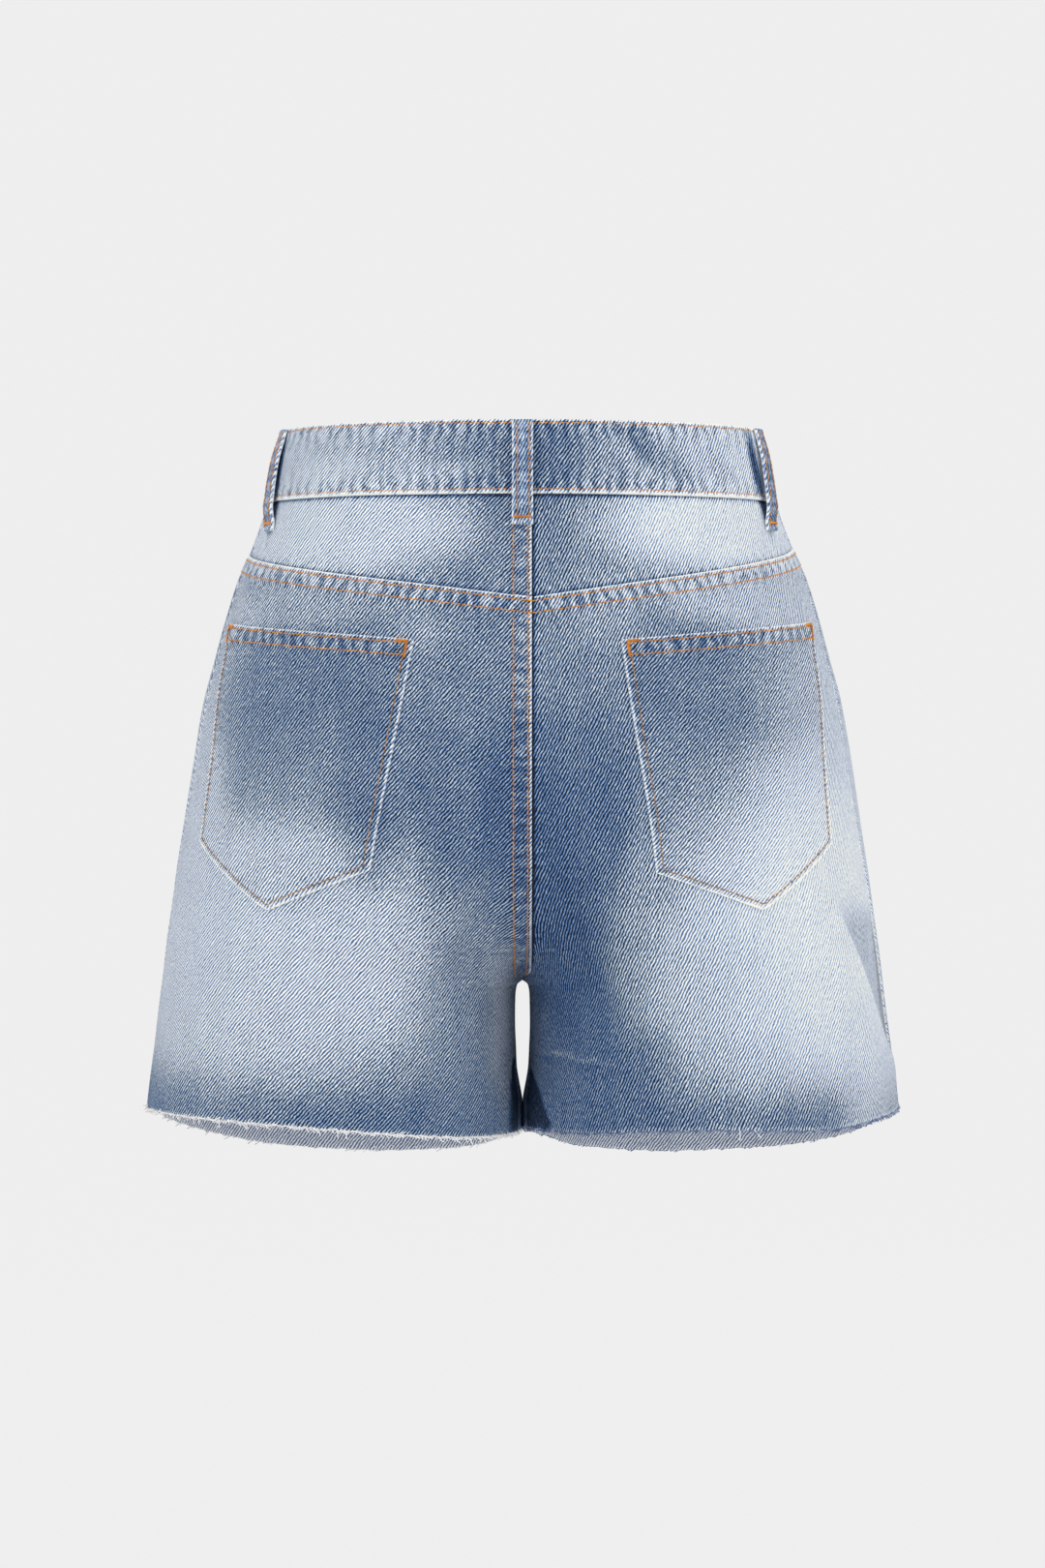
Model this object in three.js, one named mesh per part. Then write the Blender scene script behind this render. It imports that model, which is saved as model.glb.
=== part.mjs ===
import * as THREE from 'three';

// High-waisted denim shorts with raw hems, as they stand when worn, with nothing inside them.
// Sizes are millimetres. +Z is up, the front faces -Y, and the garment's own left is +X.
// A drop is a distance below the top of the waistband. A side is 1 on the left and -1 on the right.

const DENIM = 1.2; // one layer of cloth
const BAND_CLOTH = 2.2; // the waistband is folded double
const LOOP_CLOTH = 1.7; // so is a belt loop
const POCKET_CLOTH = 1.3;
const PARTED = 0.3; // between neighbouring pieces
const BAND_DEPTH = 40;
const CROTCH_DROP = 301;
const USUAL_HEM_DROP = 375;

// The form: half its width, and how far it reaches behind and before the side-to-side middle.
// A roundness of 2 is an ellipse, and more is boxier.
const FORM = [
  { drop: -2, halfWidth: 131.3, behind: 91.8, before: 95, roundness: 2 },
  { drop: 0, halfWidth: 131.5, behind: 92, before: 95, roundness: 2 },
  { drop: 18, halfWidth: 136, behind: 94, before: 96.5, roundness: 2.01 },
  { drop: 40, halfWidth: 139.8, behind: 97, before: 98, roundness: 2.03 },
  { drop: 61, halfWidth: 146.8, behind: 102, before: 99.5, roundness: 2.05 },
  { drop: 82, halfWidth: 156.1, behind: 107.5, before: 101, roundness: 2.07 },
  { drop: 103, halfWidth: 163, behind: 112.5, before: 102, roundness: 2.08 },
  { drop: 125, halfWidth: 168.9, behind: 117, before: 103, roundness: 2.1 },
  { drop: 146, halfWidth: 174.5, behind: 121, before: 103.8, roundness: 2.11 },
  { drop: 188, halfWidth: 181.6, behind: 125, before: 104.2, roundness: 2.12 },
  { drop: 231, halfWidth: 188.3, behind: 123.5, before: 104, roundness: 2.12 },
  { drop: 273.5, halfWidth: 193.9, behind: 118, before: 104, roundness: 2.12 },
  { drop: 301, halfWidth: 197.3, behind: 112.5, before: 104, roundness: 2.12 },
  { drop: 337, halfWidth: 202.1, behind: 109.5, before: 105, roundness: 2.12 },
  { drop: 370, halfWidth: 206.6, behind: 108, before: 106, roundness: 2.1 },
  { drop: 410, halfWidth: 211, behind: 107, before: 107, roundness: 2.1 },
];

// How far the section has parted into two legs, from 0 at the waist to 1 at the crotch.
const PARTING = [
  { drop: -2, share: 0 },
  { drop: 150, share: 0 },
  { drop: 181, share: 0.08 },
  { drop: 221, share: 0.3 },
  { drop: 261, share: 0.634 },
  { drop: 280, share: 0.84 },
  { drop: 290, share: 0.935 },
  { drop: 296, share: 0.98 },
  { drop: 301, share: 1 },
];

// Below the crotch: how far each leg's inner face stands off the middle, and its oval's shift forward.
const LEGS = [
  { drop: 301, gap: 0.15, forward: 0 },
  { drop: 303.5, gap: 3, forward: 0.1 },
  { drop: 310, gap: 4, forward: 0.5 },
  { drop: 325, gap: 4.2, forward: 2 },
  { drop: 340, gap: 3.8, forward: 4 },
  { drop: 355, gap: 2.4, forward: 6.5 },
  { drop: 366, gap: 0.7, forward: 8.5 },
  { drop: 371, gap: 0.3, forward: 9.3 },
  { drop: 410, gap: 0.3, forward: 14 },
];
const GAP_REACH = 26; // how far into the leg its inner face is pushed back

// How far behind the middle each side seam runs, and how far behind the inmost line each inseam.
const SIDE_SEAMS = [
  { drop: 0, left: 11, right: 11 },
  { drop: 40, left: 13, right: 14 },
  { drop: 100, left: 20, right: 21 },
  { drop: 150, left: 25, right: 27 },
  { drop: 190, left: 24, right: 32 },
  { drop: 230, left: 18, right: 33 },
  { drop: 270, left: 9, right: 24 },
  { drop: 301, left: 2, right: 15 },
  { drop: 370, left: -6, right: 3 },
  { drop: 410, left: -6, right: 3 },
];
const INSEAM_BEHIND_DEGREES = 12; // at the hem, from none at the crotch

// The raw hem's drop round each leg. A turn is 0 at the side, 90 behind, 180 inside, -90 before.
const HEMS = [
  { turn: -180, left: 383.5, right: 383.5 },
  { turn: -155, left: 391, right: 389.5 },
  { turn: -130, left: 399.5, right: 399 },
  { turn: -100, left: 402.8, right: 403 },
  { turn: -75, left: 400, right: 401 },
  { turn: -48, left: 391, right: 393.5 },
  { turn: -25, left: 381, right: 382 },
  { turn: 0, left: 370.5, right: 370.5 },
  { turn: 30, left: 370.8, right: 373.5 },
  { turn: 60, left: 372.3, right: 377.5 },
  { turn: 90, left: 375.8, right: 376.3 },
  { turn: 112, left: 379.2, right: 377.7 },
  { turn: 135, left: 382.4, right: 380.2 },
  { turn: 155, left: 383.3, right: 380.5 },
  { turn: 180, left: 383.5, right: 383.5 },
];

// The yoke seam's drop behind, from the middle to the side.
const YOKE_SEAM = { middle: 95, left: 69, right: 65.5, bow: 0.92 };
const YOKE_FELL = 9.6; // the band where the panel is folded and sewn over the yoke
const FELL_RISE = 1; // how much thicker a felled seam is
const BACK_SEAM_X = 4.9; // the centre back seam's folded edge lies on the garment's right
const BACK_SEAM_CLOSES = 280; // the drop from which the fold nears the middle
const BACK_FELL = 10.5;
const NEAR_MIDDLE = 48; // inside this, the columns close up towards the crotch

// A back pocket's corners, as the distance round the cloth from the middle and the drop.
const POCKETS = {
  left: {
    topInner: [57.4, 117.8],
    topOuter: [186, 107.2],
    sideOuter: [194, 224.8],
    point: [139.7, 260.7],
    sideInner: [80.3, 238.8],
  },
  right: {
    topInner: [51.9, 117.9],
    topOuter: [181, 106.3],
    sideOuter: [180, 225.7],
    point: [131.1, 260.4],
    sideInner: [70.7, 240.3],
  },
};
const POCKET_POINT_SHARE = 0.5; // the column that runs down to the point
const POCKET_HEM = 12; // the folded hem across its top
const POCKET_HEM_RISE = 0.5;

// Belt loops: the distance round the cloth from the middle of the back or of the front.
const LOOP_WIDTH = 11.5;
const LOOPS = [
  { name: 'loop_back', side: 1, face: 'back', round: 0, seat: FELL_RISE },
  { name: 'loop_side_left', side: 1, face: 'back', round: 160, seat: 0 },
  { name: 'loop_side_right', side: -1, face: 'back', round: 154, seat: 0 },
  { name: 'loop_front_left', side: 1, face: 'front', round: 88, seat: 0 },
  { name: 'loop_front_right', side: -1, face: 'front', round: 88, seat: 0 },
];
// A loop's inner face, as its drop and its distance out from the cloth.
const LOOP_LINE = [
  { drop: 0.6, out: 0.3 },
  { drop: 4, out: 1.2 },
  { drop: 8.5, out: 3.9 },
  { drop: 14, out: 5.5 },
  { drop: 24, out: 5.9 },
  { drop: 34, out: 5.5 },
  { drop: 42, out: 3.8 },
  { drop: 48, out: 1 },
  { drop: 51, out: 0.3 },
  { drop: 57, out: 0.3 },
];

const FLY = { width: 34, lap: 1.5, drop: 172, straight: 6, curve: 26 };
const FLY_SHIELD = { halfWidth: 22, drop: 165, cloth: 1.4, behind: 0.6 };
const BAND_LAP = { past: 14, rise: 9 };
const BAND_COLUMNS = 24;
const BUTTON = { radius: 8.3, shank: 4.5, height: 4.2, past: 3, drop: 20 };

// The raw edge: a narrow strip below the cloth, and the threads that hang from it.
const FRAY = { strip: 3, threads: 60, width: 1, tip: 0.3, shortest: 2.2, longest: 4.6, lean: 1 };

// The largest creases: from one end to the other as x and drop, a half width, and a rise.
const CREASES = [
  { face: 'back', from: [-178, 262], to: [-200, 330], reach: 7, rise: -2.2 },
  { face: 'back', from: [-158, 262], to: [-190, 345], reach: 11, rise: 1.8 },
  { face: 'back', from: [-58, 205], to: [-51, 282], reach: 12, rise: 2 },
  { face: 'back', from: [-16, 238], to: [-40, 310], reach: 12, rise: -2.6 },
  { face: 'back', from: [32, 178], to: [36, 258], reach: 9, rise: 1.6 },
  { face: 'back', from: [55, 188], to: [56, 240], reach: 8, rise: -1.2 },
  { face: 'back', from: [14, 245], to: [34, 305], reach: 11, rise: -2 },
  { face: 'back', from: [66, 322], to: [70, 385], reach: 11, rise: 1.6 },
  { face: 'back', from: [112, 330], to: [122, 380], reach: 10, rise: -1.4 },
  { face: 'back', from: [-92, 330], to: [-96, 385], reach: 11, rise: -1.4 },
  { face: 'back', from: [-128, 335], to: [-136, 385], reach: 11, rise: 1.6 },
  { face: 'front', from: [36, 235], to: [72, 278], reach: 10, rise: 1.8 },
  { face: 'front', from: [-34, 232], to: [-76, 274], reach: 10, rise: 1.8 },
  { face: 'front', from: [60, 205], to: [135, 172], reach: 9, rise: -1.4 },
  { face: 'front', from: [-56, 208], to: [-130, 180], reach: 9, rise: -1.4 },
  { face: 'front', from: [128, 318], to: [136, 395], reach: 13, rise: 1.8 },
  { face: 'front', from: [-120, 325], to: [-130, 398], reach: 13, rise: 1.8 },
  { face: 'front', from: [82, 335], to: [80, 400], reach: 11, rise: -1.5 },
  { face: 'front', from: [-76, 330], to: [-80, 400], reach: 11, rise: -1.5 },
];

const CREASE_END = 16; // how softly a crease runs out at its ends

const DEGREE = Math.PI / 180;
const PAST_TURN = 100; // millimetres past the middle for a radian of turn past it
const BRIDGE = { least: 0.02, most: 14 }; // half the width that is bridged across the middle
const FULL_DEPTH = 0.999999; // keeps the oval's slope finite at its inmost point
const MEASURE_STEPS = 160;
const BEYOND_SIDE = 0.6; // a turn past the side, so that lengths from the middle reach the side

// A smooth line through a table's rows that never overshoots them.
function smooth(rows, at, column) {
  const x = rows.map((row) => row[at]);
  const y = rows.map((row) => row[column]);
  const last = x.length - 1;
  const step = x.slice(1).map((value, i) => value - x[i]);
  const slope = step.map((value, i) => (y[i + 1] - y[i]) / value);
  const tangent = x.map((_, i) => {
    if (i === 0) return slope[0];
    if (i === last) return slope[last - 1];
    if (slope[i - 1] * slope[i] <= 0) return 0;
    const before = 2 * step[i] + step[i - 1];
    const after = step[i] + 2 * step[i - 1];
    return (before + after) / (before / slope[i - 1] + after / slope[i]);
  });
  return (value) => {
    const clamped = THREE.MathUtils.clamp(value, x[0], x[last]);
    let i = 0;
    while (i < last - 1 && clamped > x[i + 1]) i += 1;
    const t = (clamped - x[i]) / step[i];
    const u = t * t;
    const v = u * t;
    return (
      (2 * v - 3 * u + 1) * y[i] +
      (v - 2 * u + t) * step[i] * tangent[i] +
      (3 * u - 2 * v) * y[i + 1] +
      (v - u) * step[i] * tangent[i + 1]
    );
  };
}

const halfWidthAt = smooth(FORM, 'drop', 'halfWidth');
const behindAt = smooth(FORM, 'drop', 'behind');
const beforeAt = smooth(FORM, 'drop', 'before');
const roundnessAt = smooth(FORM, 'drop', 'roundness');
const partingAt = smooth(PARTING, 'drop', 'share');
const legGapAt = smooth(LEGS, 'drop', 'gap');
const legForwardAt = smooth(LEGS, 'drop', 'forward');
const sideSeamAt = {
  1: smooth(SIDE_SEAMS, 'drop', 'left'),
  [-1]: smooth(SIDE_SEAMS, 'drop', 'right'),
};
const hemAt = { 1: smooth(HEMS, 'turn', 'left'), [-1]: smooth(HEMS, 'turn', 'right') };

// One half of the level section at a drop: an oval that the middle plane cuts, or a whole leg.
function sectionAt(drop) {
  const isLeg = drop >= CROTCH_DROP;
  const halfWidth = halfWidthAt(drop);
  const n = roundnessAt(drop);
  const radius = halfWidth / (isLeg ? 2 : 1 + partingAt(drop));
  const forward = isLeg ? legForwardAt(drop) : 0;
  const centre = halfWidth - radius;
  const bridge = isLeg ? 0 : THREE.MathUtils.clamp((CROTCH_DROP - drop) / 2, BRIDGE.least, BRIDGE.most);
  const middleTurn = isLeg
    ? Math.PI
    : Math.acos(-Math.pow(Math.min(centre / radius, 1), n / 2));
  return {
    isLeg,
    n,
    radius,
    centre,
    bridge,
    middleTurn,
    forward,
    behind: behindAt(drop) + forward,
    before: beforeAt(drop) - forward,
  };
}

// How deep the oval is where it is x from the middle, bridged smoothly across the middle.
function depthAt(section, depth, x) {
  const { n, radius, centre, bridge } = section;
  const reach = Math.max(x, bridge);
  const q = Math.min(Math.abs((centre - reach) / radius), FULL_DEPTH);
  const y = depth * Math.pow(1 - Math.pow(q, n), 1 / n);
  if (x >= bridge) return y;
  const slope = (depth / radius) * Math.pow(q, n - 1) * Math.pow(1 - Math.pow(q, n), 1 / n - 1);
  return y - (slope * (bridge * bridge - x * x)) / (2 * bridge);
}

// The plain cloth's outer face on one side, at a turn in radians and a drop. Round a leg, the
// front panel's turn runs on past the inmost line to the inseam.
function plainPoint(side, turn, drop) {
  const section = sectionAt(drop);
  const { n, radius, centre, middleTurn } = section;
  const isBehind = section.isLeg ? Math.sin(turn) >= 0 : turn >= 0;
  const depth = isBehind ? section.behind : section.before;
  const angle = Math.abs(turn);
  let x;
  let y;
  if (!section.isLeg && angle > middleTurn) {
    x = -(angle - middleTurn) * PAST_TURN;
    y = depthAt(section, depth, -x);
  } else {
    const cosine = Math.cos(angle);
    x = centre + radius * Math.sign(cosine) * Math.pow(Math.abs(cosine), 2 / n);
    y = depth * Math.pow(Math.abs(Math.sin(angle)), 2 / n);
    if (x < section.bridge) y = depthAt(section, depth, x);
    if (section.isLeg) x += legGapAt(drop) * Math.exp(-((x / GAP_REACH) ** 2));
  }
  return new THREE.Vector3(side * x, (isBehind ? y : -y) - section.forward, -drop);
}

// Which way the plain cloth faces there.
function outwards(side, turn, drop) {
  const isLeg = drop >= CROTCH_DROP;
  const above = isLeg ? Math.max(drop - 0.5, CROTCH_DROP) : drop - 0.5;
  const below = isLeg ? drop + 0.5 : Math.min(drop + 0.5, CROTCH_DROP - 0.01);
  const round = plainPoint(side, turn + 0.01, drop).sub(plainPoint(side, turn - 0.01, drop));
  const down = plainPoint(side, turn, below).sub(plainPoint(side, turn, above));
  return down.cross(round).multiplyScalar(side).normalize();
}

// The height of the creases at a point of the cloth.
function creaseAt(point) {
  const face = point.y >= 0 ? 'back' : 'front';
  let height = 0;
  for (const crease of CREASES) {
    if (crease.face !== face) continue;
    const dx = crease.to[0] - crease.from[0];
    const dz = crease.to[1] - crease.from[1];
    const length = Math.hypot(dx, dz);
    const px = point.x - crease.from[0];
    const pz = -point.z - crease.from[1];
    const along = (px * dx + pz * dz) / length;
    const aside = (px * dz - pz * dx) / length;
    const over = Math.max(0, -along, along - length);
    height += crease.rise * Math.exp(-((aside / crease.reach) ** 2) - (over / CREASE_END) ** 2);
  }
  return height;
}

// A point a distance out from the creased cloth.
function clothPoint(side, turn, drop, out) {
  const point = plainPoint(side, turn, drop);
  const rise = creaseAt(point);
  return point.addScaledVector(outwards(side, turn, drop), rise + out);
}

// The turn at which the half section lies x from the middle, behind or before.
function turnAtX(drop, x, face) {
  const { n, radius, centre, middleTurn } = sectionAt(drop);
  const sign = face === 'back' ? 1 : -1;
  if (x < 0) return sign * (middleTurn - x / PAST_TURN);
  const share = (x - centre) / radius;
  const cosine = Math.sign(share) * Math.pow(Math.min(Math.abs(share), 1), n / 2);
  return sign * Math.min(Math.acos(cosine), middleTurn);
}

// Which turn lies some millimetres along the cloth from one turn towards another.
const measured = new Map();
function along(drop, from, to) {
  const key = [drop, from, to].map((value) => value.toFixed(4)).join();
  if (!measured.has(key)) {
    const steps = MEASURE_STEPS;
    const turns = [from];
    const lengths = [0];
    let previous = plainPoint(1, from, drop);
    for (let i = 1; i <= steps; i += 1) {
      const turn = from + ((to - from) * i) / steps;
      const point = plainPoint(1, turn, drop);
      turns.push(turn);
      lengths.push(lengths[i - 1] + point.distanceTo(previous));
      previous = point;
    }
    const length = lengths[steps];
    const turnAfter = (distance) => {
      const wanted = THREE.MathUtils.clamp(distance, 0, length);
      let i = 1;
      while (i < steps && lengths[i] < wanted) i += 1;
      const t = (wanted - lengths[i - 1]) / (lengths[i] - lengths[i - 1]);
      return turns[i - 1] + (turns[i] - turns[i - 1]) * t;
    };
    measured.set(key, { length, turnAfter });
  }
  return measured.get(key);
}

// The lines where the pieces meet.
function sideTurn(side, drop) {
  const { n, behind, before, forward } = sectionAt(drop);
  const y = sideSeamAt[side](drop) + forward;
  const share = Math.abs(y) / (y >= 0 ? behind : before);
  return Math.sign(y) * Math.asin(Math.pow(share, n / 2));
}

function backSeamX(drop) {
  return BACK_SEAM_X * (1 - THREE.MathUtils.smoothstep(drop, BACK_SEAM_CLOSES, CROTCH_DROP));
}

function inseamTurn(drop) {
  const share = THREE.MathUtils.smoothstep(drop, CROTCH_DROP, USUAL_HEM_DROP);
  return Math.PI - INSEAM_BEHIND_DEGREES * DEGREE * share;
}

function innerTurn(side, drop, face) {
  const past = PARTED / 2;
  if (drop >= CROTCH_DROP) {
    return face === 'back' ? inseamTurn(drop) : inseamTurn(drop) - 2 * Math.PI;
  }
  if (face === 'front') return turnAtX(drop, past, 'front');
  return turnAtX(drop, past - side * backSeamX(drop), 'back');
}

function yokeSeamAt(side, share) {
  const outer = side > 0 ? YOKE_SEAM.left : YOKE_SEAM.right;
  return outer + (YOKE_SEAM.middle - outer) * Math.pow(share, YOKE_SEAM.bow);
}

// A closed wall from rows of columns, where place gives the outer and the inner point of each.
function wall(columns, rows, place) {
  const across = columns.length;
  const down = rows.length;
  const points = [];
  rows.forEach((row) => columns.forEach((column) => points.push(...place(column, row))));
  const at = (r, c, inner) => 2 * (r * across + c) + inner;
  const index = [];
  const face = (a, b, c, d) => index.push(a, b, c, a, c, d);
  const lastRow = down - 1;
  const lastColumn = across - 1;
  for (let r = 0; r < lastRow; r += 1) {
    for (let c = 0; c < lastColumn; c += 1) {
      face(at(r, c, 0), at(r + 1, c, 0), at(r + 1, c + 1, 0), at(r, c + 1, 0));
      face(at(r, c, 1), at(r, c + 1, 1), at(r + 1, c + 1, 1), at(r + 1, c, 1));
    }
    face(at(r, 0, 0), at(r, 0, 1), at(r + 1, 0, 1), at(r + 1, 0, 0));
    const c = lastColumn;
    face(at(r, c, 0), at(r + 1, c, 0), at(r + 1, c, 1), at(r, c, 1));
  }
  for (let c = 0; c < lastColumn; c += 1) {
    face(at(0, c, 0), at(0, c + 1, 0), at(0, c + 1, 1), at(0, c, 1));
    const r = lastRow;
    face(at(r, c, 0), at(r, c, 1), at(r, c + 1, 1), at(r, c + 1, 0));
  }
  return solid(points, index);
}

// A geometry from points and triangles, turned right side out.
function solid(points, index) {
  let volume = 0;
  for (let i = 0; i < index.length; i += 3) {
    const [a, b, c] = [points[index[i]], points[index[i + 1]], points[index[i + 2]]];
    volume += a.dot(b.clone().cross(c));
  }
  if (volume < 0) index.reverse();
  const geometry = new THREE.BufferGeometry().setFromPoints(points);
  geometry.setIndex(index);
  geometry.computeVertexNormals();
  return geometry;
}

const shares = (count) => Array.from({ length: count + 1 }, (_, i) => i / count);

// One half of the waistband, from the middle of the back to the front.
function waistband(side) {
  const isLeft = side > 0;
  const past = isLeft ? BAND_LAP.past : -PARTED;
  const rise = BAND_CLOTH + PARTED;
  const reach = along(0, turnAtX(0, PARTED / 2, 'back'), turnAtX(0, -past, 'front')).length;
  const plain = isLeft ? reach - past - BAND_LAP.rise : reach;
  const columns = shares(BAND_COLUMNS).map((share) => ({ share: (share * plain) / reach, lift: 0 }));
  if (isLeft) {
    columns.push({ share: (reach - past) / reach, lift: rise });
    columns.push({ share: (reach - past / 2) / reach, lift: rise });
    columns.push({ share: 1, lift: rise });
  }
  const rows = [0, BAND_DEPTH / 2, BAND_DEPTH];
  return wall(columns, rows, (column, drop) => {
    const from = turnAtX(drop, PARTED / 2, 'back');
    const line = along(drop, from, turnAtX(drop, -past, 'front'));
    const turn = line.turnAfter(column.share * line.length);
    return [
      clothPoint(side, turn, drop, column.lift),
      clothPoint(side, turn, drop, column.lift - BAND_CLOTH),
    ];
  });
}

// Columns from the side seam to the inner edge. They are evenly spread as far as a line near the
// middle, and evenly again past it, and the felled seam on the left has its own at the end.
const OUTER_COLUMNS = 9;
const INNER_COLUMNS = 5;
function panelColumns(felled) {
  const columns = shares(OUTER_COLUMNS).map((share) => ({ outer: share, lift: 0 }));
  const inner = shares(INNER_COLUMNS).slice(1, -1);
  columns.push(...inner.map((share) => ({ inner: share, lift: 0 })));
  if (felled) {
    columns.push({ fromInner: BACK_FELL + 1, lift: 0 });
    columns.push({ fromInner: BACK_FELL, lift: FELL_RISE });
    columns.push({ fromInner: BACK_FELL / 2, lift: FELL_RISE });
  }
  columns.push({ fromInner: PARTED / 2, lift: felled ? FELL_RISE : 0 });
  return columns;
}

// Where a column runs at a drop: its turn, and its share of the way from the side seam.
function columnPlace(side, column, drop, face) {
  const near = turnAtX(drop, NEAR_MIDDLE, face);
  const outer = along(drop, sideTurn(side, drop), near);
  const inner = along(drop, near, innerTurn(side, drop, face));
  const length = outer.length + inner.length;
  if (column.outer !== undefined) {
    const distance = Math.max(column.outer * outer.length, PARTED / 2);
    return { turn: outer.turnAfter(distance), share: distance / length };
  }
  const distance = column.fromInner
    ? inner.length - column.fromInner
    : column.inner * (inner.length - BACK_FELL);
  return { turn: inner.turnAfter(distance), share: (outer.length + distance) / length };
}

const columnTurn = (...place) => columnPlace(...place).turn;

function acrossYoke(side, column) {
  return columnPlace(side, column, YOKE_SEAM.middle, 'back').share;
}

// Rows from the top down. Pieces that meet at the side seam have the same rows there.
const YOKE_ROWS = shares(4).map((share) => ({ zone: 'yoke', share }));
const FELL_ROWS = [0, 0.999, 1.08].map((share) => ({ zone: 'fell', share }));
const SEAT_SHARES = [0.13, 0.24, 0.36, 0.48, 0.6, 0.7, 0.79, 0.87, 0.93, 0.97, 0.992];
const SEAT_ROWS = SEAT_SHARES.map((share) => ({ zone: 'seat', share }));
const LEG_ROWS = [0, 0.05, 0.16, 0.34, 0.55, 0.78, 1].map((share) => ({ zone: 'leg', share }));

// The drop of a row, where the seam under the yoke and the cloth's lower edge have their drops.
function rowDrop(row, seam, bottom) {
  const top = BAND_DEPTH + PARTED;
  if (row.zone === 'yoke') return top + (seam - top) * row.share;
  if (row.zone === 'fell') return seam + row.share * YOKE_FELL;
  if (row.zone === 'seat') return seam + row.share * (CROTCH_DROP - seam);
  return CROTCH_DROP + row.share * (bottom - CROTCH_DROP);
}

function clothBottom(side, column, face) {
  const turn = columnTurn(side, column, USUAL_HEM_DROP, face);
  const onePass = turn < -Math.PI ? turn + 2 * Math.PI : turn;
  return hemAt[side](onePass / DEGREE) - FRAY.strip - PARTED;
}

function yoke(side) {
  return wall(panelColumns(side > 0), YOKE_ROWS, (column, row) => {
    const seam = yokeSeamAt(side, acrossYoke(side, column)) - PARTED / 2;
    const drop = rowDrop(row, seam);
    const turn = columnTurn(side, column, drop, 'back');
    return [
      clothPoint(side, turn, drop, column.lift),
      clothPoint(side, turn, drop, -DENIM),
    ];
  });
}

// A leg panel, from its top seam to the strip that carries the frayed hem.
function legPanel(side, face) {
  const isBack = face === 'back';
  const columns = panelColumns(isBack && side > 0);
  const rows = [...(isBack ? [] : YOKE_ROWS.slice(0, -1)), ...FELL_ROWS, ...SEAT_ROWS, ...LEG_ROWS];
  return wall(columns, rows, (column, row) => {
    const seam = yokeSeamAt(side, isBack ? acrossYoke(side, column) : 0) + PARTED / 2;
    const drop = rowDrop(row, seam, clothBottom(side, column, face));
    const isFolded = isBack && row.zone === 'fell' && row.share < 1;
    const seamLift = row.zone === 'leg' ? 0 : column.lift;
    const lift = Math.max(seamLift, isFolded ? FELL_RISE : 0);
    const turn = columnTurn(side, column, drop, face);
    return [clothPoint(side, turn, drop, lift), clothPoint(side, turn, drop, -DENIM)];
  });
}

// The turn at a distance round the cloth from the middle of the back or the front.
function turnAround(drop, distance, face) {
  const sign = face === 'back' ? 1 : -1;
  const middle = turnAtX(drop, 0, face);
  if (distance < 0) return middle - (sign * distance) / PAST_TURN;
  return along(drop, middle, -sign * BEYOND_SIDE).turnAfter(distance);
}

function pocket(side) {
  const corners = POCKETS[side > 0 ? 'left' : 'right'];
  const mix = (a, b, t) => a.map((value, i) => value + (b[i] - value) * t);
  const columns = shares(8);
  const hem = POCKET_HEM / (corners.sideInner[1] - corners.topInner[1]);
  const rows = [0, hem, hem + 0.01, 0.22, 0.36, 0.5, 0.63, 0.76, 0.88, 1];
  return wall(columns, rows, (column, row) => {
    const top = mix(corners.topInner, corners.topOuter, column);
    const bottom =
      column < POCKET_POINT_SHARE
        ? mix(corners.sideInner, corners.point, column / POCKET_POINT_SHARE)
        : mix(
            corners.point,
            corners.sideOuter,
            (column - POCKET_POINT_SHARE) / (1 - POCKET_POINT_SHARE),
          );
    const [distance, drop] = mix(top, bottom, row);
    const turn = turnAround(drop, distance, 'back');
    const lift = row <= hem ? POCKET_HEM_RISE : 0;
    return [
      clothPoint(side, turn, drop, PARTED + POCKET_CLOTH + lift),
      clothPoint(side, turn, drop, PARTED),
    ];
  });
}

function beltLoop(loop) {
  const columns = [-LOOP_WIDTH / 2, 0, LOOP_WIDTH / 2];
  return wall(columns, LOOP_LINE, (column, row) => {
    const seat = row.drop > BAND_DEPTH ? loop.seat : 0;
    const turn = turnAround(row.drop, loop.round + column, loop.face);
    return [
      clothPoint(loop.side, turn, row.drop, row.out + seat + LOOP_CLOTH),
      clothPoint(loop.side, turn, row.drop, row.out + seat),
    ];
  });
}

// The lapped fly lies over the joint of the two fronts, and its lower edge is a quarter curve.
function fly() {
  const columns = [-FLY.lap, 2, FLY.straight, 13, 20, 26, 31, FLY.width];
  return wall(columns, shares(10), (x, share) => {
    const bend = Math.max(0, (x - FLY.straight) / (FLY.width - FLY.straight));
    const bottom = FLY.drop - FLY.curve * (1 - Math.sqrt(1 - bend * bend));
    const top = BAND_DEPTH + PARTED;
    const drop = top + (bottom - top) * share;
    const turn = turnAtX(drop, x, 'front');
    return [
      clothPoint(1, turn, drop, PARTED + DENIM),
      clothPoint(1, turn, drop, PARTED),
    ];
  });
}

function flyShield() {
  const columns = shares(4).map((share) => (2 * share - 1) * FLY_SHIELD.halfWidth);
  const out = -DENIM - FLY_SHIELD.behind;
  return wall(columns, shares(6), (x, share) => {
    const top = BAND_DEPTH + PARTED;
    const drop = top + (FLY_SHIELD.drop - top) * share;
    const side = x < 0 ? -1 : 1;
    const turn = turnAtX(drop, Math.abs(x), 'front');
    return [
      clothPoint(side, turn, drop, out),
      clothPoint(side, turn, drop, out - FLY_SHIELD.cloth),
    ];
  });
}

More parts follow.
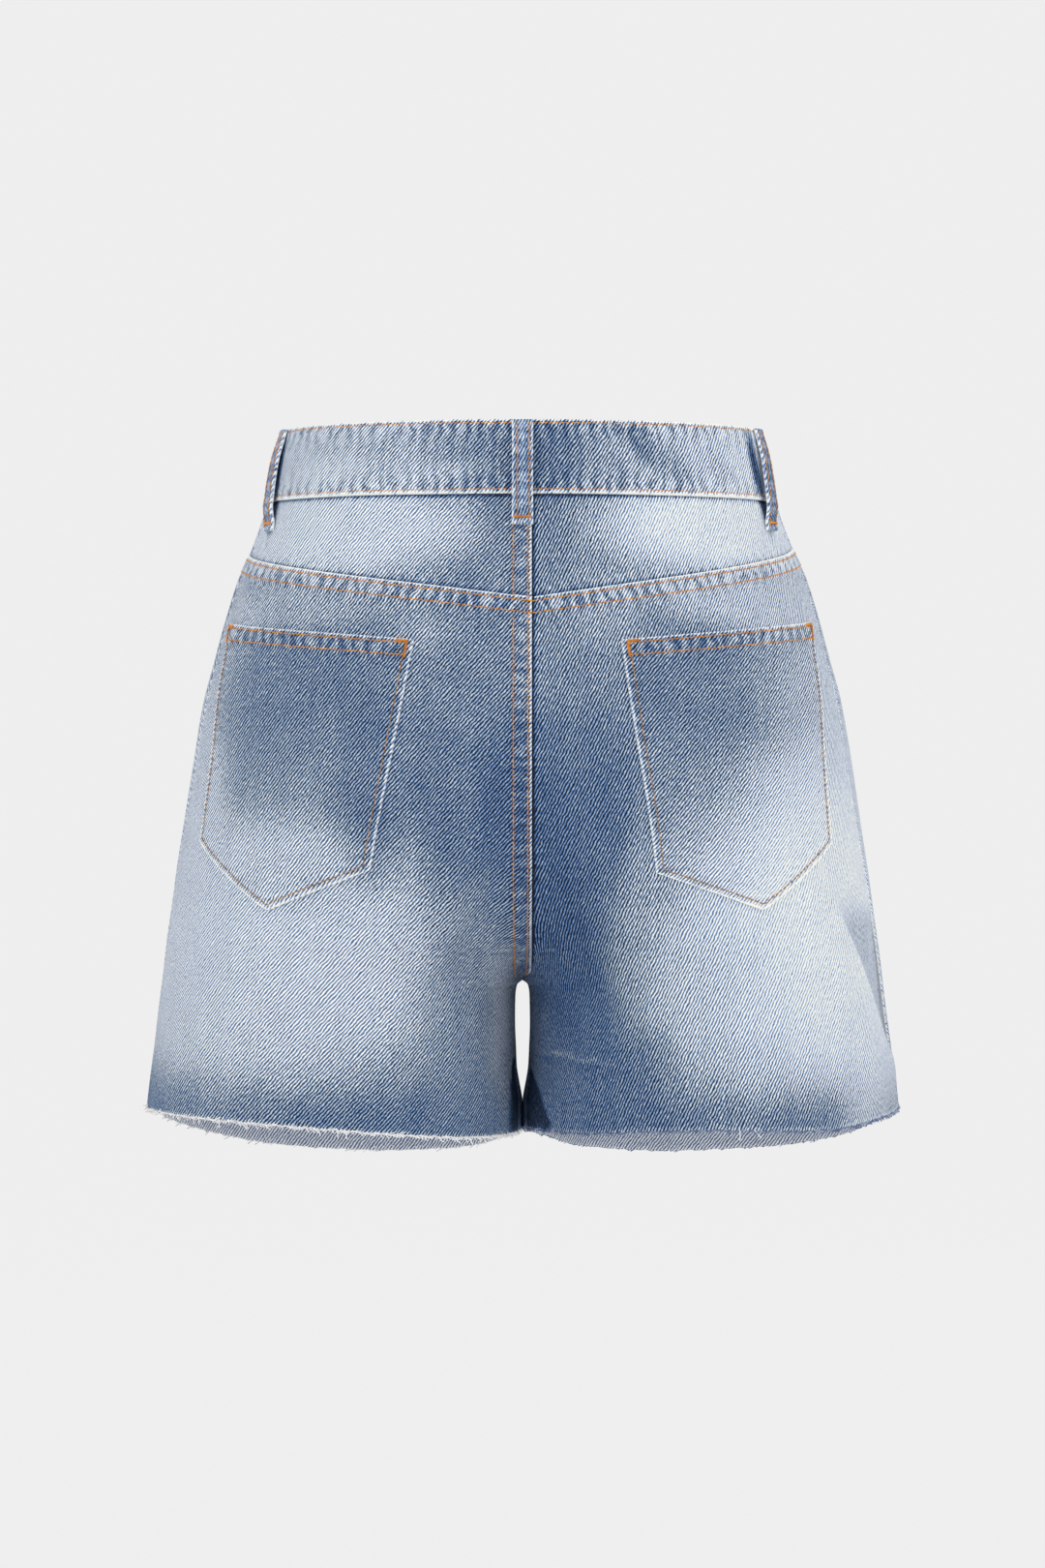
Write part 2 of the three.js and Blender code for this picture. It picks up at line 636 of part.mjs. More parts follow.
// A shank button, turned round its own axis and set on the waistband's lapped end.
function button() {
  const { radius, shank, height } = BUTTON;
  const profile = [
    [0, 0],
    [shank, 0],
    [shank, 1],
    [radius - 0.7, 1],
    [radius, 1.8],
    [radius, 2.9],
    [radius - 1.1, height],
    [radius - 2.6, height],
    [radius - 3.4, height - 0.9],
    [1.8, height - 0.9],
    [0, height - 0.5],
  ].map(([x, y]) => new THREE.Vector2(x, y));
  const turned = new THREE.LatheGeometry(profile, 24);
  turned.deleteAttribute('uv');
  const mesh = new THREE.Mesh(turned);
  const turn = turnAtX(BUTTON.drop, -BUTTON.past, 'front');
  const seat = BAND_CLOTH + 3 * PARTED;
  mesh.position.copy(clothPoint(1, turn, BUTTON.drop, seat));
  const axis = new THREE.Vector3(0, 1, 0);
  mesh.quaternion.setFromUnitVectors(axis, outwards(1, turn, BUTTON.drop));
  return mesh;
}

// A spread of lengths and leans that repeats exactly: the fractions of a steady stride.
const spread = (i, stride) => (i * stride) % 1;

// The lower edge of one leg's cloth, from its outer side round the back to its front.
function clothEdge(side) {
  const ring = [];
  for (const face of ['back', 'front']) {
    const columns = panelColumns(face === 'back' && side > 0);
    if (face === 'front') columns.reverse();
    for (const column of columns) {
      const drop = clothBottom(side, column, face);
      const turn = columnTurn(side, column, drop, face);
      const outer = clothPoint(side, turn, drop, 0);
      const inner = clothPoint(side, turn, drop, -DENIM);
      ring.push({ outer, inner, distance: 0 });
    }
  }
  ring.push({ ...ring[0] });
  for (let i = 1; i < ring.length; i += 1) {
    const step = ring[i].outer.distanceTo(ring[i - 1].outer);
    ring[i] = { ...ring[i], distance: ring[i - 1].distance + step };
  }
  return ring;
}

// The strip under one leg's cloth, with a tapered thread hanging from it every few millimetres.
function hemFray(side) {
  const ring = clothEdge(side);
  const girth = ring[ring.length - 1].distance;
  const outline = [];
  for (let i = 0; i < FRAY.threads; i += 1) {
    const start = ((i + 0.35 * spread(i, 0.618)) * girth) / FRAY.threads + 0.5;
    outline.push(start, start + FRAY.width);
  }
  const points = [];
  outline.forEach((distance) => {
    const i = ring.findIndex((place) => place.distance > distance);
    const span = ring[i].distance - ring[i - 1].distance;
    const share = (distance - ring[i - 1].distance) / span;
    const outer = ring[i - 1].outer.clone().lerp(ring[i].outer, share);
    const inner = ring[i - 1].inner.clone().lerp(ring[i].inner, share);
    const down = (point, by) => new THREE.Vector3(point.x, point.y, point.z - by);
    points.push(
      down(outer, PARTED),
      down(outer, PARTED + FRAY.strip),
      down(inner, PARTED + FRAY.strip),
      down(inner, PARTED),
    );
  });
  const count = outline.length;
  const at = (column, corner) => 4 * (column % count) + corner;
  const index = [];
  const face = (a, b, c, d) => index.push(a, b, c, a, c, d);
  for (let c = 0; c < count; c += 1) {
    for (const [upper, lower] of [[0, 1], [2, 3], [3, 0]]) {
      face(at(c, upper), at(c, lower), at(c + 1, lower), at(c + 1, upper));
    }
    if (c % 2 === 1) {
      face(at(c, 1), at(c, 2), at(c + 1, 2), at(c + 1, 1));
      continue;
    }
    const root = [at(c, 1), at(c, 2), at(c + 1, 2), at(c + 1, 1)];
    const i = c / 2;
    const length = FRAY.shortest + (FRAY.longest - FRAY.shortest) * spread(i, 0.382);
    const sideways = points[root[3]].clone().sub(points[root[0]]).normalize();
    const middle = new THREE.Vector3();
    root.forEach((corner) => middle.addScaledVector(points[corner], 0.25));
    const tip = middle.clone().addScaledVector(sideways, FRAY.lean * (2 * spread(i, 0.71) - 1));
    tip.z -= length;
    const tips = root.map((corner) => {
      const offset = points[corner].clone().sub(middle).multiplyScalar(FRAY.tip);
      return points.push(tip.clone().add(offset)) - 1;
    });
    for (let k = 0; k < 4; k += 1) {
      const next = (k + 1) % 4;
      face(root[k], root[next], tips[next], tips[k]);
    }
    face(tips[0], tips[1], tips[2], tips[3]);
  }
  return solid(points, index);
}

const cloth = (color) => new THREE.MeshStandardMaterial({ color, roughness: 0.92, metalness: 0 });
const FADED = cloth('#b9c4d0');
const BLUE = cloth('#8fa2bb');
const SEAT = cloth('#9fb0c4');
const POCKET_BLUE = cloth('#8da0b8');
const THREADS = cloth('#e3e3dd');
const COPPER = new THREE.MeshStandardMaterial({ color: '#b0764a', roughness: 0.35, metalness: 1 });

const shorts = new THREE.Group();
shorts.name = 'denim_shorts';

function add(name, shape, material) {
  const mesh = shape.isMesh ? shape : new THREE.Mesh(shape);
  mesh.name = name;
  mesh.material = material;
  shorts.add(mesh);
}

for (const [side, word] of [[1, 'left'], [-1, 'right']]) {
  add(`waistband_${word}`, waistband(side), side > 0 ? FADED : BLUE);
  add(`yoke_${word}`, yoke(side), FADED);
  add(`back_${word}`, legPanel(side, 'back'), SEAT);
  add(`front_${word}`, legPanel(side, 'front'), SEAT);
  add(`pocket_${word}`, pocket(side), POCKET_BLUE);
  add(`hem_fray_${word}`, hemFray(side), THREADS);
}
LOOPS.forEach((loop) => add(loop.name, beltLoop(loop), FADED));
add('fly', fly(), SEAT);
add('fly_shield', flyShield(), BLUE);
add('button', button(), COPPER);

export default shorts;
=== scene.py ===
# %% [markdown]
# # Frayed denim shorts
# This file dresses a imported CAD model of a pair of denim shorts. The CAD solids hold the form and
# the sizes. Here each panel of cloth is made again as a fine thin shell on the same form, and gets
# its folds, its sewing, its frayed edge and its washed colour.
# Sizes are typed in millimetres, as a maker reads them off a tape, and turned to metres at the end.

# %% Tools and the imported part
import math

import bpy
import numpy as np
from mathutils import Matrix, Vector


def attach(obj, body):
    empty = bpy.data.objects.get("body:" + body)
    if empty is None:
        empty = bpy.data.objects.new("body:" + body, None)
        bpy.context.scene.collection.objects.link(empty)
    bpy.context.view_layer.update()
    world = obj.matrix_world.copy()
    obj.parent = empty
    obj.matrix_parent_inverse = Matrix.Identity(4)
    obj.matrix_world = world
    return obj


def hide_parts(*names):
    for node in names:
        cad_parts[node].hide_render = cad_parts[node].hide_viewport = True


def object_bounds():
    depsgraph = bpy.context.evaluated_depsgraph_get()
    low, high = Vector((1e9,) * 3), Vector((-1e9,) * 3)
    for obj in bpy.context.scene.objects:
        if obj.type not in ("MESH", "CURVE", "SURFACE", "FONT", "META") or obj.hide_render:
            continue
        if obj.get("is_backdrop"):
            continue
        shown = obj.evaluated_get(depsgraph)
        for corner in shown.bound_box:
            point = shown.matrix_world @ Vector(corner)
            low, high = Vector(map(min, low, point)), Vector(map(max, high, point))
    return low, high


MM = 0.001
DEGREE = math.pi / 180
# the sides of the garment: 1 is its left, where x is above 0
SIDES = {1: "left", -1: "right"}

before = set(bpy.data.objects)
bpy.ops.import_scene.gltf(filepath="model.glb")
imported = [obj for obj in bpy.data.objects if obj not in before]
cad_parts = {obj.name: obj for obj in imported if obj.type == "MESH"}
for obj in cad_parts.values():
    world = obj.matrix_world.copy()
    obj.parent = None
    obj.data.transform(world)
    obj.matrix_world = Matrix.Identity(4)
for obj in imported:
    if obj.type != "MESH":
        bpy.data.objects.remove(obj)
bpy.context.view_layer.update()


def place_mesh(name, mesh):
    """Puts a mesh in the scene as an object at the origin."""
    mesh.polygons.foreach_set("use_smooth", [True] * len(mesh.polygons))
    piece = bpy.data.objects.new(name, mesh)
    bpy.context.collection.objects.link(piece)
    return piece


def new_material(name):
    """A material with nodes, its node tree and its shader."""
    material = bpy.data.materials.new(name)
    material.use_nodes = True
    tree = material.node_tree
    return material, tree, tree.nodes["Principled BSDF"]


# %% [markdown]
# ## The picture first
# The shorts are seen from behind with a long lens, level with the seat. A long lens keeps the two
# hems almost parallel. The camera comes before the cloth, so that every later choice can be
# judged through it.

# %% Camera
CAMERA_DISTANCE = 2600
CAMERA_DROP = 193.7

camera_data = bpy.data.cameras.new("camera")
camera_data.lens = 108.6
camera_data.sensor_width = 36
camera = bpy.data.objects.new("camera", camera_data)
camera.location = (0, CAMERA_DISTANCE * MM, -CAMERA_DROP * MM)
camera.rotation_euler = (math.pi / 2, 0, math.pi)
bpy.context.collection.objects.link(camera)
bpy.context.scene.camera = camera

# %% [markdown]
# Soft daylight comes from large lamps, because a large lamp has soft shadows. Seen from behind the
# shorts, one stands high on the left, a wider and weaker one on the right, and one low behind the
# camera. A fourth lights the front, for the views from there, and the pale surroundings fill the
# rest. The view transform is the plain one, so that a cloth colour comes out as it is typed.

# %% Light
SURROUNDINGS = 0.855
LIT_POINT = (0, 0, -0.2)

scene = bpy.context.scene
scene.view_settings.view_transform = "Standard"

world = bpy.data.worlds.new("studio")
world.use_nodes = True
surroundings = world.node_tree.nodes["Background"].inputs
surroundings["Color"].default_value = (SURROUNDINGS, SURROUNDINGS, SURROUNDINGS, 1)
surroundings["Strength"].default_value = 1
scene.world = world


def soft_light(name, place, size, power):
    lamp = bpy.data.lights.new(name, "AREA")
    lamp.shape = "DISK"
    lamp.size = size
    lamp.energy = power
    light = bpy.data.objects.new(name, lamp)
    light.location = place
    aim = np.array(LIT_POINT) - np.array(place)
    light.rotation_euler = (
        math.atan2(math.hypot(aim[0], aim[1]), -aim[2]),
        0,
        math.atan2(aim[1], aim[0]) - math.pi / 2,
    )
    bpy.context.collection.objects.link(light)


soft_light("key_light", (1.5, 2.1, 1.3), 0.9, 13)
soft_light("fill_light", (-2.3, 1.5, 0.4), 1.6, 10)
soft_light("low_light", (0.3, 2.9, -0.75), 1.2, 6)
soft_light("front_light", (-1.2, -2.3, 1.4), 0.9, 18)

# %% [markdown]
# The floor is a bowl: a pale sheet that lies flat and curves up far away, as in a photographer's
# studio, so no line shows where it turns, from any side. It glows, which keeps it even.

# %% Floor
FLOOR_HEIGHT = -0.78
FLOOR_GLOW = 0.838
FIRST_RADIUS = 0.6
FLAT_RADIUS = 3.6
BEND_RADIUS = 2.2
WALL_RISES = (1, 2.5, 4)


def floor_bowl():
    """A flat round floor that curves up into a wall all round."""
    profile = [(radius, FLOOR_HEIGHT) for radius in np.linspace(FIRST_RADIUS, FLAT_RADIUS, 6)]
    for angle in np.linspace(0.1, math.pi / 2, 14):
        rise = BEND_RADIUS * (1 - math.cos(angle))
        profile.append((FLAT_RADIUS + BEND_RADIUS * math.sin(angle), FLOOR_HEIGHT + rise))
    wall = FLAT_RADIUS + BEND_RADIUS
    profile += [(wall, FLOOR_HEIGHT + BEND_RADIUS + rise) for rise in WALL_RISES]
    around = 64
    points = [(0, 0, FLOOR_HEIGHT)]
    for radius, height in profile:
        for k in range(around):
            angle = 2 * math.pi * k / around
            points.append((radius * math.cos(angle), radius * math.sin(angle), height))
    faces = [(0, 1 + k, 1 + (k + 1) % around) for k in range(around)]
    for ring in range(len(profile) - 1):
        first = 1 + ring * around
        for k in range(around):
            after = (k + 1) % around
            corner = first + around
            faces.append((first + k, corner + k, corner + after, first + after))
    mesh = bpy.data.meshes.new("floor")
    mesh.from_pydata(points, [], faces)
    paper, _, shader = new_material("pale_paper")
    shader.inputs["Base Color"].default_value = (0.02, 0.02, 0.02, 1)
    shader.inputs["Roughness"].default_value = 1
    shader.inputs["Specular IOR Level"].default_value = 0
    shader.inputs["Emission Color"].default_value = (FLOOR_GLOW, FLOOR_GLOW, FLOOR_GLOW, 1)
    shader.inputs["Emission Strength"].default_value = 1
    mesh.materials.append(paper)
    return place_mesh("floor", mesh)


floor_bowl()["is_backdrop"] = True

# %% [markdown]
# ## The form
# The shorts are described by short tables: half the width, and how deep they are behind and before
# the middle, at a few drops below the waistband's top. A smooth line through each table gives
# every height between. The panels, pockets and loops all take their points from this one form, so
# they can't drift apart.


# %% Smooth lines through tables
def smooth_line(table, column):
    """A line through the table's rows that never overshoots them."""
    x = np.array([row[0] for row in table], float)
    y = np.array([row[column] for row in table], float)
    step = np.diff(x)
    slope = np.diff(y) / step
    tangent = np.empty_like(y)
    tangent[0] = slope[0]
    tangent[-1] = slope[-1]
    for i in range(1, len(x) - 1):
        if slope[i - 1] * slope[i] <= 0:
            tangent[i] = 0
            continue
        before = 2 * step[i] + step[i - 1]
        after = step[i] + 2 * step[i - 1]
        tangent[i] = (before + after) / (before / slope[i - 1] + after / slope[i])

    def value_at(place):
        place = np.clip(np.asarray(place, float), x[0], x[-1])
        i = np.clip(np.searchsorted(x, place, side="left") - 1, 0, len(x) - 2)
        t = (place - x[i]) / step[i]
        u = t * t
        v = u * t
        return (
            (2 * v - 3 * u + 1) * y[i]
            + (v - 2 * u + t) * step[i] * tangent[i]
            + (3 * u - 2 * v) * y[i + 1]
            + (v - u) * step[i] * tangent[i + 1]
        )

    return value_at


def ease(low, high, value):
    """0 below low, 1 above high, and a soft rise between."""
    t = np.clip((np.asarray(value, float) - low) / (high - low), 0, 1)
    return t * t * (3 - 2 * t)


def bell(distance, reach):
    """1 at no distance, and soon 0 beyond the reach."""
    return np.exp(-((distance / reach) ** 2))


# %% Tables of the form
DENIM = 1.2
BAND_CLOTH = 2.2
LOOP_CLOTH = 1.7
POCKET_CLOTH = 1.3
PARTED = 0.3
BAND_DEPTH = 40
CROTCH_DROP = 301
USUAL_HEM_DROP = 375

# drop, half width, behind, before, roundness
FORM = [
    (-2, 131.3, 91.8, 95, 2),
    (0, 131.5, 92, 95, 2),
    (18, 136, 94, 96.5, 2.01),
    (40, 139.8, 97, 98, 2.03),
    (61, 146.8, 102, 99.5, 2.05),
    (82, 156.1, 107.5, 101, 2.07),
    (103, 163, 112.5, 102, 2.08),
    (125, 168.9, 117, 103, 2.1),
    (146, 174.5, 121, 103.8, 2.11),
    (188, 181.6, 125, 104.2, 2.12),
    (231, 188.3, 123.5, 104, 2.12),
    (273.5, 193.9, 118, 104, 2.12),
    (301, 197.3, 112.5, 104, 2.12),
    (337, 202.1, 109.5, 105, 2.12),
    (370, 206.6, 108, 106, 2.1),
    (410, 211, 107, 107, 2.1),
]
# drop, how far the oval has parted into two legs
PARTING = [
    (-2, 0),
    (150, 0),
    (181, 0.08),
    (221, 0.3),
    (261, 0.634),
    (280, 0.84),
    (290, 0.935),
    (296, 0.98),
    (301, 1),
]
# drop, gap beside the middle, shift forward
LEGS = [
    (301, 0.15, 0),
    (303.5, 3, 0.1),
    (310, 4, 0.5),
    (325, 4.2, 2),
    (340, 3.8, 4),
    (348, 3.5, 5.3),
    (357, 2.1, 6.9),
    (364, 0.7, 8.2),
    (368, 0.12, 8.8),
    (371, 0.1, 9.3),
    (410, 0.1, 14),
]
GAP_REACH = 26
# drop, how far behind the middle the left and the right side seam run
SIDE_SEAMS = [
    (0, 11, 11),
    (40, 13, 14),
    (100, 20, 21),
    (150, 25, 27),
    (190, 24, 32),
    (230, 18, 33),
    (270, 9, 24),
    (301, 2, 15),
    (370, -6, 3),
    (410, -6, 3),
]
INSEAM_BEHIND_DEGREES = 12
# turn round the leg, drop of the left and of the right hem
HEMS = [
    (-180, 383.5, 383.5),
    (-155, 391, 389.5),
    (-130, 399.5, 399),
    (-100, 402.8, 403),
    (-75, 400, 401),
    (-48, 391, 393.5),
    (-25, 381, 382),
    (0, 370.5, 370.5),
    (30, 370.8, 373.5),
    (60, 372.3, 377.5),
    (90, 375.8, 376.3),
    (112, 379.2, 377.7),
    (135, 382.4, 380.2),
    (155, 383.3, 380.5),
    (180, 383.5, 383.5),
]

half_width_at = smooth_line(FORM, 1)
behind_at = smooth_line(FORM, 2)
before_at = smooth_line(FORM, 3)
roundness_at = smooth_line(FORM, 4)
parting_at = smooth_line(PARTING, 1)
leg_gap_at = smooth_line(LEGS, 1)
leg_forward_at = smooth_line(LEGS, 2)
side_seam_at = {1: smooth_line(SIDE_SEAMS, 1), -1: smooth_line(SIDE_SEAMS, 2)}
hem_at = {1: smooth_line(HEMS, 1), -1: smooth_line(HEMS, 2)}

# %% [markdown]
# A level cut through the hips is one oval. Lower down it parts into two, one for each leg. A point
# of the cloth is named by its side (1 left, -1 right), its turn round that half (0 at the side, a
# quarter turn behind or before) and its drop.

# %% Points of the plain form
PAST_TURN = 100
LEAST_BRIDGE = 0.02
MOST_BRIDGE = 14
FULL_DEPTH = 0.999999


def section_at(drop):
    is_leg = drop >= CROTCH_DROP
    half_width = half_width_at(drop)
    roundness = roundness_at(drop)
    radius = half_width / np.where(is_leg, 2, 1 + parting_at(drop))
    centre = half_width - radius
    forward = np.where(is_leg, leg_forward_at(drop), 0)
    bridge = np.clip((CROTCH_DROP - drop) / 2, LEAST_BRIDGE, MOST_BRIDGE)
    reach = np.minimum(centre / radius, 1) ** (roundness / 2)
    return {
        "is_leg": is_leg,
        "roundness": roundness,
        "radius": radius,
        "centre": centre,
        "bridge": np.where(is_leg, 0, bridge),
        "middle_turn": np.where(is_leg, math.pi, np.arccos(-reach)),
        "forward": forward,
        "behind": behind_at(drop) + forward,
        "before": before_at(drop) - forward,
    }


def depth_at(section, depth, x):
    n = section["roundness"]
    radius = section["radius"]
    bridge = np.maximum(section["bridge"], LEAST_BRIDGE)
    q = np.abs((section["centre"] - np.maximum(x, bridge)) / radius)
    q = np.minimum(q, FULL_DEPTH)
    y = depth * (1 - q**n) ** (1 / n)
    slope = (depth / radius) * q ** (n - 1) * (1 - q**n) ** (1 / n - 1)
    bridged = y - slope * (bridge**2 - x**2) / (2 * bridge)
    return np.where(x >= bridge, y, bridged)


def plain_point(side, turn, drop):
    turn = np.asarray(turn, float)
    drop = np.asarray(drop, float)
    section = section_at(drop)
    n = section["roundness"]
    is_leg = section["is_leg"]
    is_behind = np.where(is_leg, np.sin(turn) >= 0, turn >= 0)
    depth = np.where(is_behind, section["behind"], section["before"])
    angle = np.abs(turn)
    cosine = np.cos(angle)
    x_round = section["centre"] + section["radius"] * np.sign(cosine) * np.abs(cosine) ** (2 / n)
    y_round = depth * np.abs(np.sin(angle)) ** (2 / n)
    near_middle = ~is_leg & (x_round < section["bridge"])
    y_round = np.where(near_middle, depth_at(section, depth, np.maximum(x_round, 0)), y_round)
    gap = leg_gap_at(drop) * bell(x_round, GAP_REACH)
    x_round = x_round + np.where(is_leg, gap, 0)
    x_past = (angle - section["middle_turn"]) * PAST_TURN
    is_past = ~is_leg & (x_past > 0)
    y_past = depth_at(section, depth, np.maximum(x_past, 0))
    x = np.where(is_past, -x_past, x_round)
    y = np.where(is_past, y_past, y_round)
    y = np.where(is_behind, y, -y) - section["forward"]
    return np.stack([side * x, y, -drop + 0 * x], axis=-1)


def outwards(side, turn, drop):
    """Which way the plain cloth faces."""
    turn = np.asarray(turn, float)
    drop = np.asarray(drop, float)
    is_leg = drop >= CROTCH_DROP
    above = np.where(is_leg, np.maximum(drop - 0.5, CROTCH_DROP), drop - 0.5)
    below = np.where(is_leg, drop + 0.5, np.minimum(drop + 0.5, CROTCH_DROP - 0.01))
    round_way = plain_point(side, turn + 0.01, drop) - plain_point(side, turn - 0.01, drop)
    down_way = plain_point(side, turn, below) - plain_point(side, turn, above)
    facing = np.cross(down_way, round_way) * side
    return facing / np.linalg.norm(facing, axis=-1, keepdims=True)


# %% [markdown]
# ## Folds
# Worn cloth is never smooth. The main creases lie where the CAD model has them, and finer ones are
# added here: pulls along the waistband, puckers below the yoke and ripples above the hems. Each is
# a soft trough or ridge along a line, with a similar one on the sides that the
# photograph doesn't show.

# %% Creases and ripples
# face, from x and drop, to x and drop, half width, rise, softness of its ends
FOLDS = [
    ("back", -178, 262, -200, 330, 7, -2.2, 16),
    ("back", -158, 262, -190, 345, 11, 1.8, 16),
    ("back", -58, 205, -51, 282, 12, 2, 16),
    ("back", -16, 238, -40, 310, 12, -2.6, 16),
    ("back", 32, 178, 36, 258, 9, 1.6, 16),
    ("back", 55, 188, 56, 240, 8, -1.2, 16),
    ("back", 14, 245, 34, 305, 11, -2, 16),
    ("back", 66, 322, 70, 385, 11, 1.6, 16),
    ("back", 112, 330, 122, 380, 10, -1.4, 16),
    ("back", -92, 330, -96, 385, 11, -1.4, 16),
    ("back", -128, 335, -136, 385, 11, 1.6, 16),
    ("front", 36, 235, 72, 278, 10, 1.8, 16),
    ("front", -34, 232, -76, 274, 10, 1.8, 16),
    ("front", 60, 205, 135, 172, 9, -1.4, 16),
    ("front", -56, 208, -130, 180, 9, -1.4, 16),
    ("front", 128, 318, 136, 395, 13, 1.8, 16),
    ("front", -120, 325, -130, 398, 13, 1.8, 16),
    ("front", 82, 335, 80, 400, 11, -1.5, 16),
    ("front", -76, 330, -80, 400, 11, -1.5, 16),
    ("back", -28, 12, -52, 34, 2.6, -0.55, 5),
    ("back", -42, 8, -66, 30, 2.4, 0.5, 5),
    ("back", -60, 10, -80, 32, 2.8, -0.5, 5),
    ("back", -84, 14, -104, 33, 3, 0.4, 5),
    ("back", 40, 12, 24, 30, 3, -0.35, 6),
    ("back", 96, 10, 84, 30, 3, 0.3, 6),
    ("back", 140, 86, 146, 112, 2.6, -0.7, 6),
    ("back", 147, 84, 153, 112, 2.4, 0.7, 6),
    ("back", -142, 84, -150, 110, 2.8, -0.5, 6),
    ("back", 18, 180, 17, 260, 3.5, -0.7, 12),
    ("back", -12, 178, -14, 250, 4, -0.7, 12),
    ("back", -12, 346, -50, 352, 2.4, -0.5, 6),
    ("back", -38, 338, -72, 346, 3, 0.4, 6),
    ("back", 30, 340, 60, 352, 3, 0.5, 8),
    ("front", 24, 56, 60, 70, 5, 0.5, 8),
    ("front", -24, 56, -60, 72, 5, -0.5, 8),
    ("front", 30, 190, 96, 168, 5, 0.8, 10),
    ("front", -30, 192, -92, 170, 5, 0.8, 10),
]


def fold_height(point, face):
    height = np.zeros(point.shape[:-1])
    for where, x0, drop0, x1, drop1, reach, rise, end in FOLDS:
        if where != face:
            continue
        length = math.hypot(x1 - x0, drop1 - drop0)
        px = point[..., 0] - x0
        pz = -point[..., 2] - drop0
        along = (px * (x1 - x0) + pz * (drop1 - drop0)) / length
        aside = (px * (drop1 - drop0) - pz * (x1 - x0)) / length
        over = np.maximum(0, np.maximum(-along, along - length))
        height += rise * np.exp(-((aside / reach) ** 2) - (over / end) ** 2)
    return height


def ripple_height(point):
    x = point[..., 0]
    y = point[..., 1]
    z = point[..., 2]
    broad = np.sin(x / 19 + z / 41 + 0.7) * np.sin(y / 23 - z / 31)
    fine = np.sin(x / 8.5 - z / 17 + 2) * np.sin(z / 12.5 + y / 15)
    return 0.34 * broad + 0.13 * fine


def cloth_point(side, turn, drop, out, face):
    """A point some millimetres out from the creased cloth, and which way the cloth faces."""
    point = plain_point(side, turn, drop)
    facing = outwards(side, turn, drop)
    quiet = ease(2, 24, drop)
    rise = fold_height(point, face) + ripple_height(point) * quiet + out
    if face == "back":
        rise = rise + side_fold_height(point)
    return point + facing * np.expand_dims(rise, -1)


# %% [markdown]
# ## Measuring round the cloth
# Sewing lines are set by a distance along the cloth, not by an angle, so two helpers measure the
# section: one finds the turn at a distance between two lines, the other at a distance from the
# middle of the back or front.

# %% Measuring
MEASURE_STEPS = 160


def turn_at_x(drop, x, face):
    section = section_at(np.asarray(float(drop)))
    sign = 1 if face == "back" else -1
    if x < 0:
        return sign * (float(section["middle_turn"]) - x / PAST_TURN)
    share = (x - section["centre"]) / section["radius"]
    cosine = np.sign(share) * np.minimum(np.abs(share), 1) ** (section["roundness"] / 2)
    return sign * min(float(np.arccos(cosine)), float(section["middle_turn"]))


def along(drop, start, end):
    """The length of the cloth between two turns, and a line from length to turn."""
    turns = np.linspace(start, end, MEASURE_STEPS + 1)
    points = plain_point(1, turns, np.full(turns.shape, float(drop)))
    steps = np.linalg.norm(np.diff(points, axis=0), axis=1)
    lengths = np.concatenate([[0], np.cumsum(steps)])
    return lengths[-1], lambda distance: np.interp(distance, lengths, turns)


def side_turn(side, drop):
    section = section_at(np.asarray(float(drop)))
    y = float(side_seam_at[side](drop) + section["forward"])
    depth = float(section["behind"] if y >= 0 else section["before"])
    return math.copysign(math.asin((abs(y) / depth) ** (float(section["roundness"]) / 2)), y)


BACK_SEAM_X = 4.9
BACK_SEAM_CLOSES = 294
NEAR_MIDDLE = 48


def inner_turn(side, drop, face):
    """Where a panel's inner edge runs: the centre seam, and below it the inseam."""
    if drop >= CROTCH_DROP:
        share = float(ease(CROTCH_DROP, USUAL_HEM_DROP, drop))
        inseam = math.pi - INSEAM_BEHIND_DEGREES * DEGREE * share
        return inseam if face == "back" else inseam - 2 * math.pi
    if face == "front":
        return turn_at_x(drop, 0.02, "front")
    fold = BACK_SEAM_X * (1 - float(ease(BACK_SEAM_CLOSES, CROTCH_DROP, drop)))
    return turn_at_x(drop, 0.02 - side * fold, "back")


# %% [markdown]
# A panel is a grid. Its columns run from the side seam to the inner edge, evenly spaced as far as a
# line near the middle and closer past it, because there the cloth turns under between the legs.
# Columns close to an edge are set by their distance from it, so that a stitch line can follow one.

# %% Columns of a leg panel
SIDE_DISTANCES = [0, 0.5, 1.3, 2.4, 3.8, 5.4, 7.2]
OUTER_SHARES = np.linspace(0, 1, 84)[1:]
INNER_SHARES = np.linspace(0, 1, 20)[1:-1]
FOLD_DISTANCES = [12.6, 11.4, 10.6, 9.7, 8.6, 7.4, 6, 4.6, 3.3, 2.1, 1.2, 0.5, 0]
FOLD_START = 13.6


def column_turns(side, drop, face):
    near = turn_at_x(drop, NEAR_MIDDLE, face)
    outer_length, outer_turn = along(drop, side_turn(side, drop), near)
    inner_length, inner_turn_at = along(drop, near, inner_turn(side, drop, face))
    first = SIDE_DISTANCES[-1]
    outer = np.concatenate([SIDE_DISTANCES, first + OUTER_SHARES * (outer_length - first)])
    inner = np.concatenate(
        [INNER_SHARES * (inner_length - FOLD_START), inner_length - np.array(FOLD_DISTANCES)]
    )
    turns = np.concatenate([outer_turn(outer), inner_turn_at(inner)])
    distances = np.concatenate([outer, outer_length + inner])
    return turns, distances / (outer_length + inner_length)


def column_table(side, face):
    """The turn of every column at many drops, above the crotch and below it."""
    above = np.concatenate(
        [np.arange(38, 290, 1.0), np.arange(290, 299, 0.25), np.arange(299, 300.99, 0.04)]
    )
    below = np.concatenate([np.arange(301, 307, 0.25), np.arange(307, 412, 1.0)])
    tables = []
    for drops in (above, below):
        turns = np.array([column_turns(side, drop, face)[0] for drop in drops])
        tables.append((drops, turns))
    return tables


